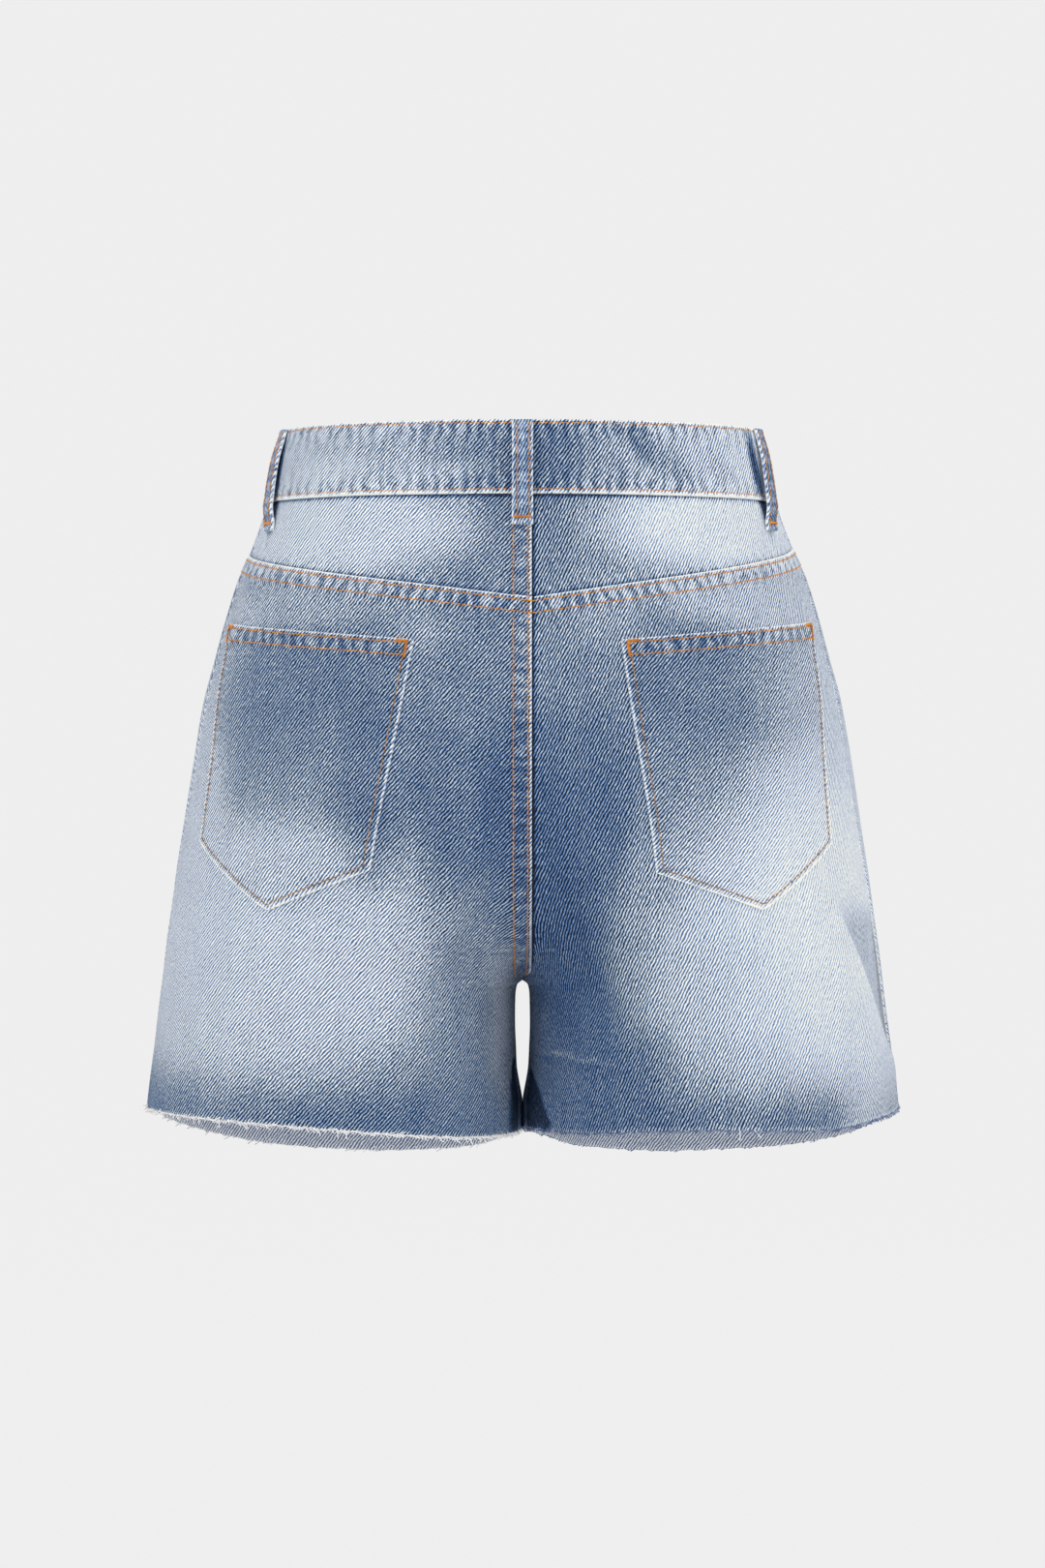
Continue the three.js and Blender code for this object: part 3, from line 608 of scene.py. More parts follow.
def turns_from(tables, drop):
    """The turns at an array of drops with one column for each of the panel's."""
    turns = np.empty(drop.shape)
    for column in range(drop.shape[1]):
        for (drops, table), chosen in zip(
            tables, (drop[:, column] < CROTCH_DROP, drop[:, column] >= CROTCH_DROP)
        ):
            turns[chosen, column] = np.interp(drop[chosen, column], drops, table[:, column])
    return turns


# %% [markdown]
# ## The wash
# Pale places on jeans are rubbed or sprayed on after sewing. So the fading is airbrushed here too:
# each mark is a soft oval that pulls the cloth towards a level between 0, dark indigo, and 1,
# almost white. Some marks paint light and shade instead, wholly or partly: shadows beside the side
# loops, shade in the dip of the seat and under it, the light and shade of creases and wrinkles, and
# lighter sides. The level is kept on the mesh's points and the material turns it into colour.

# %% Airbrushed fading, painted light and painted shade
# x, drop, half width, half height, tilt in degrees, softness, level, strength
BACK_WASH_LIGHT_AND_SHADE = [
    (104, 57, 74, 26, 0, 0.5, 0.78, 1.0),
    (-114, 55, 68, 26, 0, 0.5, 1.0, 1.0),
    (120, 98, 70, 12, 4, 0.6, 0.56, 0.7),
    (-124, 97, 60, 14, -6, 0.6, 0.72, 0.8),
    # partly real fading along the side seams, partly painted light on the sides, which turn from the
    # lamps
    (186, 190, 26, 200, 4, 0.55, 0.75, 0.9),
    (-184, 190, 30, 200, -4, 0.55, 0.98, 0.9),
    (-160, 140, 36, 84, 0, 0.7, 0.68, 0.8),
    (158, 108, 14, 34, 0, 0.7, 0.62, 0.7),
    # painted shade in the dip between the halves of the seat, along the centre seam
    (2, 206, 42, 44, 0, 0.7, 0.08, 0.8),
    (-42, 216, 14, 46, 0, 0.7, 0.1, 0.6),
    (142, 288, 100, 76, 0, 0.38, 0.68, 1.0),
    (150, 274, 64, 42, 0, 0.7, 0.76, 0.8),
    (118, 247, 30, 13, -8, 0.8, 0.5, 0.4),
    (168, 188, 8, 20, 0, 0.8, 0.6, 0.7),
    (14, 50, 10, 12, 0, 0.7, 0.28, 0.6),
    (-160, 282, 86, 88, 0, 0.5, 0.82, 1.0),
    # partly real fading, partly painted light on the right thigh's side fold, which turns from the
    # lamps
    (-168, 264, 46, 66, 8, 0.6, 1.04, 0.95),
    (-100, 316, 26, 40, 0, 0.8, 0.68, 0.5),
    (18, 330, 28, 70, 6, 0.6, 0.35, 0.75),
    # painted light beside the slit, where the cloth turns away from the lamps
    (9, 335, 7, 42, 4, 0.7, 0.62, 0.8),
    (30, 200, 7, 40, 0, 0.7, 0.34, 0.5),
    (54, 112, 14, 12, 0, 0.7, 0.6, 0.5),
    (-44, 98, 22, 26, 0, 0.7, 0.6, 0.5),
    (-62, 248, 12, 24, -10, 0.7, 0.5, 0.5),
    # painted deep shade right of the middle, under the seat
    (-22, 286, 20, 70, 10, 0.6, 0.05, 0.95),
    (-36, 352, 36, 34, 0, 0.6, 0.14, 0.8),
    # a painted highlight on a small crease above the right hem, and its painted shadow below it
    (-30, 340, 22, 1.3, -8, 0.7, 0.46, 0.7),
    (-30, 344, 22, 2, -8, 0.8, 0.06, 0.6),
    (45, 205, 12, 40, 6, 0.7, 0.22, 0.6),
    (80, 200, 16, 40, 0, 0.7, 0.2, 0.7),
    # painted shadow beside the side loops, on the yoke
    (132.5, 30, 1.8, 26, -10, 0.6, -0.3, 0.9),
    (-129, 34, 2, 22, 12, 0.6, -0.3, 0.9),
]
FRONT_WASH = [
    (95, 60, 84, 34, 0, 0.8, 0.68, 0.9),
    (-95, 60, 84, 34, 0, 0.8, 0.72, 0.9),
    (190, 200, 34, 200, 4, 0.7, 0.68, 0.9),
    (-190, 200, 34, 200, -4, 0.7, 0.74, 0.9),
    (104, 262, 54, 92, 6, 0.9, 0.84, 1.0),
    (-104, 262, 54, 92, -6, 0.9, 0.86, 1.0),
    (0, 330, 40, 80, 0, 0.6, 0.14, 0.9),
    (78, 176, 34, 5, -18, 0.8, 0.7, 0.6),
    (-78, 178, 34, 5, 18, 0.8, 0.7, 0.6),
    (70, 196, 30, 5, -24, 0.8, 0.66, 0.5),
    (-70, 198, 30, 5, 24, 0.8, 0.66, 0.5),
]
BAND_WASH_LIGHT_AND_SHADE = [
    (84, 20, 150, 60, 0, 0.3, 0.62, 1.0),
    (20, 20, 26, 60, 0, 0.7, 0.3, 0.9),
    (-22, 20, 26, 60, 0, 0.7, 0.22, 1.0),
    (-48, 20, 22, 60, 0, 0.7, 0.3, 0.9),
    (-104, 20, 58, 60, 0, 0.7, 0.64, 1.0),
    (-126, 20, 24, 40, 0, 0.7, 0.9, 0.8),
    # these eight marks are streaks painted as the light and shade of the band's wrinkles
    (-62, 12, 5, 14, 34, 0.7, 0.14, 0.7),
    (-80, 24, 6, 14, 40, 0.7, 0.3, 0.6),
    (-50, 24, 3, 12, 34, 0.7, 0.42, 0.5),
    (-92, 12, 5, 14, 34, 0.7, 0.76, 0.5),
    (-106, 26, 6, 12, 36, 0.7, 0.52, 0.6),
    (62, 14, 26, 7, 6, 0.8, 0.46, 0.6),
    (104, 26, 20, 6, 10, 0.8, 0.82, 0.5),
    (40, 28, 20, 5, 10, 0.8, 0.72, 0.5),
    # painted shadow beside the side loops
    (132.5, 20, 1.8, 30, -10, 0.6, -0.3, 0.9),
    (-126, 22, 2, 20, 12, 0.6, -0.3, 0.9),
]
BAND_FRONT_WASH = [
    (84, 20, 60, 60, 0, 0.7, 0.7, 1.0),
    (-84, 20, 60, 60, 0, 0.7, 0.72, 1.0),
    (0, 20, 26, 60, 0, 0.7, 0.36, 0.9),
    (46, 16, 6, 14, -34, 0.7, 0.3, 0.5),
    (-52, 18, 6, 14, 34, 0.7, 0.3, 0.5),
]


def airbrush(start, x, drop, marks):
    level = np.full(x.shape, float(start))
    for cx, cd, half_x, half_d, tilt, softness, target, strength in marks:
        cosine = math.cos(tilt * DEGREE)
        sine = math.sin(tilt * DEGREE)
        a = ((x - cx) * cosine + (drop - cd) * sine) / half_x
        b = (-(x - cx) * sine + (drop - cd) * cosine) / half_d
        mask = strength * (1 - ease(1 - softness, 1 + softness, np.hypot(a, b)))
        level += (target - level) * mask
    return level


# %% [markdown]
# One fold on the right thigh has a crisp edge: the pale cloth of the thigh stops there, and the blue
# cloth that turns away behind it shows as a strip that tapers towards the hem.

# %% The side fold of the right thigh
SIDE_FOLD_DROPS = [250, 267, 285, 306, 323, 339, 360]
SIDE_FOLD_X = [-164, -170, -179.5, -188.5, -195, -200.5, -207]


def beyond_fold(x, drop):
    """1 on the cloth that lies beyond the fold's edge, 0 before it."""
    line = np.interp(drop, SIDE_FOLD_DROPS, SIDE_FOLD_X)
    return ease(-0.5, 2.5, line - x) * ease(252, 272, drop)


# the turned-in cloth beside the slit, in deep shade: drop, then how far it reaches right and left
SHADE_DROPS = [340, 346, 376]
SHADE_RIGHT = [-2, -3.8, -14.6]
SHADE_LEFT = [4, 6, 6.4]


def slit_shade(x, drop):
    """1 on the cloth in deep shade beside the lower end of the slit, 0 elsewhere."""
    right = ease(-0.4, 0.4, x - np.interp(drop, SHADE_DROPS, SHADE_RIGHT))
    left = ease(-0.4, 0.4, np.interp(drop, SHADE_DROPS, SHADE_LEFT) - x)
    return right * left * ease(341, 346, drop)


def side_fold_height(point):
    drop = -point[..., 2]
    line = np.interp(drop, SIDE_FOLD_DROPS, SIDE_FOLD_X)
    past = line - point[..., 0]
    reach = ease(246, 280, drop) * (1 - ease(338, 362, drop))
    return reach * (1.1 * bell(past, 4) - 1.5 * ease(0, 5, past))


# %% [markdown]
# ## Building a piece of cloth
# Every piece is a closed shell: an outer and an inner grid of points, joined round the edge. The
# mesh carries a real-size map of the cloth for the weave, and a few values on its points: the
# fading with its painted light and shade, which face is the wrong side, the distance to the nearest
# sewn edge and along it, and how strongly the seam is puckered.

# %% The shell builder
SHARP_CLOTH_DEGREES = 55


def grid_facing(grid, side):
    """Which way a grid of points faces, from its own rows and columns."""
    across = np.gradient(grid, axis=1)
    down = np.gradient(grid, axis=0)
    facing = np.cross(down, across) * side
    return facing / np.maximum(np.linalg.norm(facing, axis=-1, keepdims=True), 1e-9)


def run_lengths(grid, axis):
    """Lengths along the grid, from its first row or column."""
    steps = np.linalg.norm(np.diff(grid, axis=axis), axis=-1)
    lengths = np.cumsum(steps, axis=axis)
    start = np.zeros_like(lengths[:1] if axis == 0 else lengths[:, :1])
    return np.concatenate([start, lengths], axis=axis)


def shell(name, outer, inner, cloth_map, material, **values):
    """A closed piece of cloth from two grids of points, with a flat map and values on its points."""
    rows, columns = outer.shape[:2]
    count = rows * columns
    points = np.concatenate([outer.reshape(-1, 3), inner.reshape(-1, 3)]) * MM
    index = np.arange(count).reshape(rows, columns)
    a, b, c, d = index[:-1, :-1], index[1:, :-1], index[1:, 1:], index[:-1, 1:]
    quads = [np.stack([a, b, c, d], -1).reshape(-1, 4)]
    quads.append(np.stack([a, d, c, b], -1).reshape(-1, 4) + count)
    loop = np.concatenate([index[0], index[1:, -1], index[-1, -2::-1], index[-2:0:-1, 0]])
    after = np.roll(loop, -1)
    quads.append(np.stack([loop, after, after + count, loop + count], -1))
    faces = np.concatenate(quads)
    first, second, third = points[faces[:, 0]], points[faces[:, 1]], points[faces[:, 2]]
    fourth = points[faces[:, 3]]
    volume = np.sum(first * np.cross(second, third)) + np.sum(first * np.cross(third, fourth))
    if volume < 0:
        faces = faces[:, ::-1]
    mesh = bpy.data.meshes.new(name)
    mesh.from_pydata(points.tolist(), [], faces.tolist())
    piece = place_mesh(name, mesh)
    mesh.set_sharp_from_angle(angle=SHARP_CLOTH_DEGREES * DEGREE)
    both = np.concatenate([cloth_map.reshape(-1, 2)] * 2) * MM
    corners = np.empty(len(mesh.loops), int)
    mesh.loops.foreach_get("vertex_index", corners)
    layer = mesh.uv_layers.new(name="cloth")
    layer.data.foreach_set("uv", both[corners].ravel())
    values = {"wrong": np.zeros(count), **values}
    for key, value in values.items():
        doubled = np.concatenate([value.reshape(-1)] * 2).astype(np.float32)
        if key == "wrong":
            doubled[count:] = 1
        attribute = mesh.attributes.new(key, "FLOAT", "POINT")
        attribute.data.foreach_set("value", doubled)
    mesh.materials.append(material)
    widths = run_lengths(outer, 1)[:, -1]
    depths = run_lengths(outer, 0)[-1]
    area = 0.5 * np.sum(np.linalg.norm(np.cross(second - first, third - first), axis=1))
    area += 0.5 * np.sum(np.linalg.norm(np.cross(third - first, fourth - first), axis=1))
    print(
        f"{name}: {len(faces)} faces, at most {widths.max():.0f} by {depths.max():.0f} mm,",
        f"one face {area / 2:.4f} square metres",
    )
    return piece


# %% [markdown]
# ## Denim
# Denim is a twill: white weft threads run under blue warp threads, and each row steps one thread
# aside, which draws fine slanting lines. Indigo only coats the warp, so where cloth is rubbed the
# white core comes up, first on the ridges of the twill, on seam edges and on puckers. One node
# group makes the twill, another the wear along seams, and every denim material uses both.


# %% Node helpers
def put(tree, kind, sockets=None, **settings):
    """Adds a node, sets its options, and fills its sockets with values or with other outputs."""
    node = tree.nodes.new(kind)
    for key, value in settings.items():
        setattr(node, key, value)
    for key, value in (sockets or {}).items():
        if isinstance(value, bpy.types.NodeSocket):
            tree.links.new(value, node.inputs[key])
        else:
            node.inputs[key].default_value = value
    return node


def figure(tree, operation, *values):
    """One step of arithmetic."""
    node = put(tree, "ShaderNodeMath", dict(enumerate(values)), operation=operation)
    return node.outputs[0]


def soft_step(tree, value, low, high):
    node = put(
        tree,
        "ShaderNodeMapRange",
        {"Value": value, "From Min": low, "From Max": high},
        interpolation_type="SMOOTHSTEP",
    )
    return node.outputs[0]


def noise(tree, place, scale, detail=2.0, roughness=0.5):
    sockets = {"Vector": place, "Scale": scale, "Detail": detail, "Roughness": roughness}
    return put(tree, "ShaderNodeTexNoise", sockets).outputs["Fac"]


def socket(tree, name, kind, way="INPUT", value=None):
    made = tree.interface.new_socket(name=name, in_out=way, socket_type=kind)
    if value is not None:
        made.default_value = value


def linear(red, green, blue):
    """A screen colour, typed as 0 to 255, as the light it stands for."""
    parts = [value / 255 for value in (red, green, blue)]
    return tuple(p / 12.92 if p <= 0.04045 else ((p + 0.055) / 1.055) ** 2.4 for p in parts) + (1,)


# %% The twill group
def make_twill():
    tree = bpy.data.node_groups.new("Twill", "ShaderNodeTree")
    socket(tree, "Cloth", "NodeSocketVector")
    socket(tree, "Lines per metre", "NodeSocketFloat", value=630)
    socket(tree, "Lean in degrees", "NodeSocketFloat", value=50)
    socket(tree, "Line", "NodeSocketFloat", "OUTPUT")
    socket(tree, "Fleck", "NodeSocketFloat", "OUTPUT")
    socket(tree, "Slub", "NodeSocketFloat", "OUTPUT")
    given = put(tree, "NodeGroupInput").outputs
    apart = put(tree, "ShaderNodeSeparateXYZ", {0: given["Cloth"]}).outputs
    angle = figure(tree, "RADIANS", given["Lean in degrees"])
    sideways = figure(tree, "MULTIPLY", apart["X"], figure(tree, "SINE", angle))
    upwards = figure(tree, "MULTIPLY", apart["Y"], figure(tree, "COSINE", angle))
    place = figure(tree, "ADD", sideways, upwards)
    turns = figure(tree, "MULTIPLY", place, given["Lines per metre"])
    wander = figure(tree, "MULTIPLY", noise(tree, given["Cloth"], 260, 3), 1.1)
    phase = figure(tree, "MULTIPLY", figure(tree, "ADD", turns, wander), 2 * math.pi)
    line = soft_step(tree, figure(tree, "SINE", phase), -0.75, 0.75)
    short = put(tree, "ShaderNodeCombineXYZ", {"X": apart["X"]})
    tree.links.new(figure(tree, "MULTIPLY", apart["Y"], 0.45), short.inputs["Y"])
    fleck = soft_step(tree, noise(tree, short.outputs[0], 1050, 2, 0.6), 0.3, 0.7)
    long = put(tree, "ShaderNodeCombineXYZ", {"X": apart["X"]})
    tree.links.new(figure(tree, "MULTIPLY", apart["Y"], 0.07), long.inputs["Y"])
    slub = soft_step(tree, noise(tree, long.outputs[0], 330, 3, 0.6), 0.3, 0.7)
    put(tree, "NodeGroupOutput", {"Line": line, "Fleck": fleck, "Slub": slub})
    return tree


twill = make_twill()


# %% The seam wear group
def make_seam_wear():
    tree = bpy.data.node_groups.new("Seam wear", "ShaderNodeTree")
    socket(tree, "Off", "NodeSocketFloat")
    socket(tree, "Run", "NodeSocketFloat")
    socket(tree, "Pucker", "NodeSocketFloat")
    socket(tree, "Pitch", "NodeSocketFloat", value=7.5)
    socket(tree, "Edge", "NodeSocketFloat", "OUTPUT")
    socket(tree, "Wave", "NodeSocketFloat", "OUTPUT")
    given = put(tree, "NodeGroupInput").outputs
    spot = put(tree, "ShaderNodeCombineXYZ", {"X": given["Run"], "Y": given["Off"]}).outputs[0]
    uneven = noise(tree, spot, 0.11, 2)
    skewed = figure(tree, "MULTIPLY_ADD", given["Off"], -0.1, given["Run"])
    turns = figure(tree, "DIVIDE", skewed, given["Pitch"])
    turns = figure(tree, "MULTIPLY_ADD", uneven, 1.9, turns)
    wave = figure(tree, "SINE", figure(tree, "MULTIPLY", turns, 2 * math.pi))
    wave = figure(tree, "MULTIPLY", wave, given["Pucker"])
    strength = figure(tree, "MULTIPLY_ADD", noise(tree, spot, 0.3, 2), 1.6, -0.1)
    wave = figure(tree, "MULTIPLY", wave, strength)
    near = soft_step(tree, given["Off"], 1.5, 0.4)
    rubbed = soft_step(tree, noise(tree, spot, 0.45, 2), 0.2, 0.55)
    edge = figure(tree, "MULTIPLY", near, rubbed)
    put(tree, "NodeGroupOutput", {"Edge": edge, "Wave": wave})
    return tree


seam_wear = make_seam_wear()

# %% [markdown]
# The material adds the parts up: the airbrushed level, the twill, the flecks, the slubs and the
# seam wear give one local level, and a ramp from indigo to bone white colours it. The wrong side
# shows more weft, so it is paler and greyer.

# %% Denim materials
# level, colour
RIGHT_COLOURS = [
    # the darkest stop colours the twill's darkest lines and the painted deep shade
    (0, linear(24, 34, 52)),
    (0.07, linear(49, 64, 87)),
    (0.44, linear(94, 132, 188)),
    (0.72, linear(171, 189, 207)),
    (1, linear(245, 245, 240)),
]
WRONG_COLOURS = [(0, linear(88, 108, 144)), (0.6, linear(242, 244, 246))]
# how much each part of the cloth moves the level
FLECK = 0.36
SLUB = 0.06
BLOTCH = 0.22
PUCKER = 0.34
# how high each part stands on the cloth, in metres
LINE_HEIGHT = 0.00012
FLECK_HEIGHT = 0.00008
PUCKER_HEIGHT = 0.00042
CRINKLE_HEIGHT = 0.0005


def value_of(tree, name):
    """A value that the mesh carries on its points."""
    return put(
        tree, "ShaderNodeAttribute", attribute_name=name, attribute_type="GEOMETRY"
    ).outputs["Fac"]


def ramp(tree, level, colours):
    """Turns a level into a colour, from a table that starts and ends with its outer levels."""
    node = put(tree, "ShaderNodeValToRGB", {"Fac": level})
    elements = node.color_ramp.elements
    for element, (place, colour) in zip(elements, (colours[0], colours[-1])):
        element.position = place
        element.color = colour
    for place, colour in colours[1:-1]:
        elements.new(place).color = colour
    return node.outputs[0]


def make_denim(name, lean, wave_pitch=7.5, line_strength=0.8, rubbing=0.8):
    material, tree, shader = new_material(name)
    cloth = put(tree, "ShaderNodeUVMap", uv_map="cloth").outputs[0]
    weave = put(tree, "ShaderNodeGroup", node_tree=twill)
    tree.links.new(cloth, weave.inputs["Cloth"])
    weave.inputs["Lean in degrees"].default_value = lean
    seams = put(tree, "ShaderNodeGroup", node_tree=seam_wear)
    seams.inputs["Pitch"].default_value = wave_pitch
    for socket_name, attribute in (("Off", "off"), ("Run", "run"), ("Pucker", "pucker")):
        tree.links.new(value_of(tree, attribute), seams.inputs[socket_name])
    blotch = noise(tree, cloth, 46, 4, 0.55)
    # the airbrushed level: fading, and in some places painted light and shade
    level = value_of(tree, "wear")
    level = figure(tree, "MULTIPLY_ADD", weave.outputs["Line"], line_strength, level)
    level = figure(tree, "MULTIPLY_ADD", weave.outputs["Fleck"], FLECK, level)
    level = figure(tree, "MULTIPLY_ADD", weave.outputs["Slub"], SLUB, level)
    level = figure(tree, "MULTIPLY_ADD", blotch, BLOTCH, level)
    level = figure(tree, "SUBTRACT", level, (line_strength + FLECK + SLUB + BLOTCH) / 2)
    level = figure(tree, "MULTIPLY_ADD", seams.outputs["Wave"], PUCKER, level)
    level = figure(tree, "MULTIPLY_ADD", seams.outputs["Edge"], rubbing, level)
    right = ramp(tree, level, RIGHT_COLOURS)
    wrong = ramp(tree, level, WRONG_COLOURS)
    sides = put(
        tree,
        "ShaderNodeMix",
        {0: value_of(tree, "wrong"), 6: right, 7: wrong},
        data_type="RGBA",
    )
    tree.links.new(sides.outputs[2], shader.inputs["Base Color"])
    height = figure(tree, "MULTIPLY", weave.outputs["Line"], LINE_HEIGHT)
    height = figure(tree, "MULTIPLY_ADD", weave.outputs["Fleck"], FLECK_HEIGHT, height)
    height = figure(tree, "MULTIPLY_ADD", seams.outputs["Wave"], PUCKER_HEIGHT, height)
    crinkle = noise(tree, cloth, 95, 3, 0.6)
    height = figure(tree, "MULTIPLY_ADD", crinkle, CRINKLE_HEIGHT, height)
    bump = put(tree, "ShaderNodeBump", {"Height": height, "Strength": 0.8, "Distance": 1.0})
    tree.links.new(bump.outputs[0], shader.inputs["Normal"])
    shader.inputs["Roughness"].default_value = 0.9
    shader.inputs["Specular IOR Level"].default_value = 0.12
    return material


denim_back = {1: make_denim("denim_left", 47), -1: make_denim("denim_right", 64)}
denim_band = {1: make_denim("denim_band_left", 52), -1: make_denim("denim_band_right", 55)}
denim_pocket = make_denim("denim_pocket", 50, rubbing=0.6)
denim_front = make_denim("denim_front", 52)
denim_loop = make_denim("denim_loop", 64, line_strength=0.6, rubbing=0.45)

# %% [markdown]
# ## Leg panels
# The back panels are folded over the yoke and sewn down twice, and the left one is folded over the
# right along the centre. A felled seam like this is several layers thick, so its band is lifted,
# with a dip along each stitch line. At the hem the cloth is cut and left raw.

# %% Shape of a felled seam
YOKE_SEAM_MIDDLE = 95
YOKE_SEAM_SIDE = {1: 69, -1: 65.5}
YOKE_SEAM_BOW = 0.92
# the seam's two stitch lines, as distances from its folded edge
FELL_STITCHES = (2.4, 8.7)
CENTRE_STITCHES = (2.1, 9.7)


def fell_lift(distance):
    """How high the folded band of a felled seam stands, with a dip at each stitch line."""
    places = [0, 0.4, 1.2, 2.3, 3.6, 7.4, 8.7, 9.8, 10.6, 11.8]
    lifts = [0.3, 0.95, 1.2, 0.9, 1.2, 1.2, 0.85, 0.9, 0.25, 0]
    return np.interp(distance, places, lifts)


def fell_pucker(distance):
    """How strongly a felled seam puckers, by the distance from its folded edge."""
    return np.interp(distance, [0, 2.4, 5.5, 8.7, 11, 16], [0.5, 0.85, 1, 0.8, 0.3, 0])


def plain_pucker(distance):
    """How strongly a plain seam puckers."""
    return np.interp(distance, [0, 3, 7, 12], [0.5, 0.4, 0.15, 0])


def nearest_seam(seams):
    """The distance to the nearest seam, the place along it, and how strongly it puckers there.

    Each seam is its distance, the place along it and its pucker. Where two seams are equally
    near, the pucker fades, because their waves don't meet.
    """
    off, run, pucker = seams[0]
    for distance, place, strength in seams[1:]:
        nearer = distance < off
        apart = ease(0, 4, np.abs(distance - off))
        pucker = np.where(nearer, strength, pucker) * apart
        run = np.where(nearer, place, run)
        off = np.minimum(distance, off)
    return off, run, pucker


def side_lift(distance):
    """A pressed-open side seam: a narrow groove between two soft welts."""
    return 0.45 * bell(distance - 3.4, 2.2) - 0.4 * bell(distance, 0.9)


# %% Rows of a leg panel
FELL_ROWS = [0, 0.4, 1.2, 2.4, 3.6, 5, 6.4, 7.6, 8.7, 9.8, 10.6, 11.8, 13.6]
ABOVE_CROTCH = [60, 20, 15, 12, 9.5, 7.5, 5.8, 4.4, 3.2, 2.2, 1.4, 0.8, 0.4, 0.15, 0.03]
BELOW_CROTCH = [0, 0.4, 0.9, 1.5, 2.2, 3, 4, 5.2, 6.8, 8.8, 11]
HEM_WOBBLE = 0.35


def yoke_seam(side, share):
    outer = YOKE_SEAM_SIDE[side]
    return outer + (YOKE_SEAM_MIDDLE - outer) * share**YOKE_SEAM_BOW


def hem_drop(side, tables):
    """The drop of the raw edge at each column of a leg panel."""
    flat = np.full((1, tables[1][1].shape[1]), float(USUAL_HEM_DROP))
    turns = turns_from(tables, flat)[0]
    one_pass = np.where(turns < -math.pi, turns + 2 * math.pi, turns)
    return hem_at[side](one_pass / DEGREE)


def panel_drops(side, face, tables):
    """The drop of every row and column of a leg panel."""
    share = column_turns(side, YOKE_SEAM_MIDDLE, face)[1]
    hem = hem_drop(side, tables)
    place = np.arange(len(hem))
    wobble = HEM_WOBBLE * np.sin(place * 1.9) * np.sin(place * 0.63 + side)
    hem = hem + wobble * ease(0, 6, place) * ease(0, 6, place[::-1])
    rows = []
    if face == "back":
        seam = yoke_seam(side, share) + 0.1
        rows += [seam + distance for distance in FELL_ROWS]
        start = seam + FELL_ROWS[-1]
        for part in np.linspace(0, 1, 60)[1:]:
            rows.append(start + (CROTCH_DROP - ABOVE_CROTCH[0] - start) * part)
    else:
        for drop in np.linspace(BAND_DEPTH + 0.1, CROTCH_DROP - ABOVE_CROTCH[0], 82):
            rows.append(np.full(len(share), drop))
    closer = ABOVE_CROTCH[0] - ABOVE_CROTCH[1]
    for part in np.linspace(0, 1, 17)[1:]:
        rows.append(np.full(len(share), CROTCH_DROP - ABOVE_CROTCH[0] + closer * part))
    for distance in ABOVE_CROTCH[2:]:
        rows.append(np.full(len(share), CROTCH_DROP - distance))
    for distance in BELOW_CROTCH:
        rows.append(np.full(len(share), CROTCH_DROP + distance))
    start = CROTCH_DROP + BELOW_CROTCH[-1]
    for part in list(np.linspace(0, 1, 27)[1:-1]) + [0.985, 1]:
        rows.append(start + (hem - start) * part)
    return np.array(rows), hem


GRAIN_X = 95


def across_map(grid, side, drop):
    """A flat map in millimetres whose grain runs down the middle of the panel."""
    u = run_lengths(grid, 1)
    for row in range(len(u)):
        from_middle = grid[row, :, 0] * side
        grain = np.interp(-GRAIN_X, -from_middle, u[row])
        u[row] -= grain + GRAIN_X
    return np.stack([u * -side, -drop], -1)


# %% Fading, painted light and painted shade of the leg panels
PANEL_LEVEL = 0.34
# the darker band above a hem: its level, its strength and how far up it reaches
HEM_LEVEL = 0.16
HEM_STRENGTH = 0.8
HEM_REACH = 24
# x, half width and change in strength of patches in that band on the back
HEM_PATCHES = {1: [(148, 30, -0.35)], -1: [(-35, 40, 0.25), (-107, 28, -0.4)]}
BEYOND_FOLD_LEVEL = 0.58
BEYOND_FOLD_STRENGTH = 0.9
DEEP_SHADE_LEVEL = -0.3
CUT_EDGE_RUBBING = 0.3
# how strongly painted shadow darkens the cloth beside an edge that lies on it
PAINTED_EDGE_SHADOW = 0.8


def hem_band(side, face, x, to_hem):
    """How strongly a panel darkens towards its hem."""
    band = bell(to_hem, HEM_REACH) * HEM_STRENGTH
    if face == "front":
        return band
    change = 1
    for middle, half, more in HEM_PATCHES[side]:
        change = change + more * bell(x - middle, half)
    band = band * change
    if side < 0:
        band = band * (1 - 0.8 * ease(162, 188, -x))
    return band


def panel_level(side, face, x, drop, to_hem, from_inner):
    """The fading of a leg panel, with its painted light and shade, from its marks down to its raw
    edge.
    """
    is_back = face == "back"
    level = airbrush(PANEL_LEVEL, x, drop, BACK_WASH_LIGHT_AND_SHADE if is_back else FRONT_WASH)
    level += (HEM_LEVEL - level) * hem_band(side, face, x, to_hem)
    if is_back and side < 0:
        level += (BEYOND_FOLD_LEVEL - level) * BEYOND_FOLD_STRENGTH * beyond_fold(x, drop)
    if is_back:
        level += (DEEP_SHADE_LEVEL - level) * slit_shade(x, drop)
    level += CUT_EDGE_RUBBING * bell(to_hem, 1.2)
    # painted shadow on the right panel beside the left one's folded edge, above the crotch
    if is_back and side < 0:
        level -= PAINTED_EDGE_SHADOW * bell(from_inner, 1.4) * (drop < CROTCH_DROP)
    return level


# %% Making the four leg panels
leg_tables = {}
for leg in ((1, "back"), (1, "front"), (-1, "back"), (-1, "front")):
    leg_tables[leg] = column_table(*leg)
# the outer grid of points of each piece, for the sewing to follow
outer_grids = {}


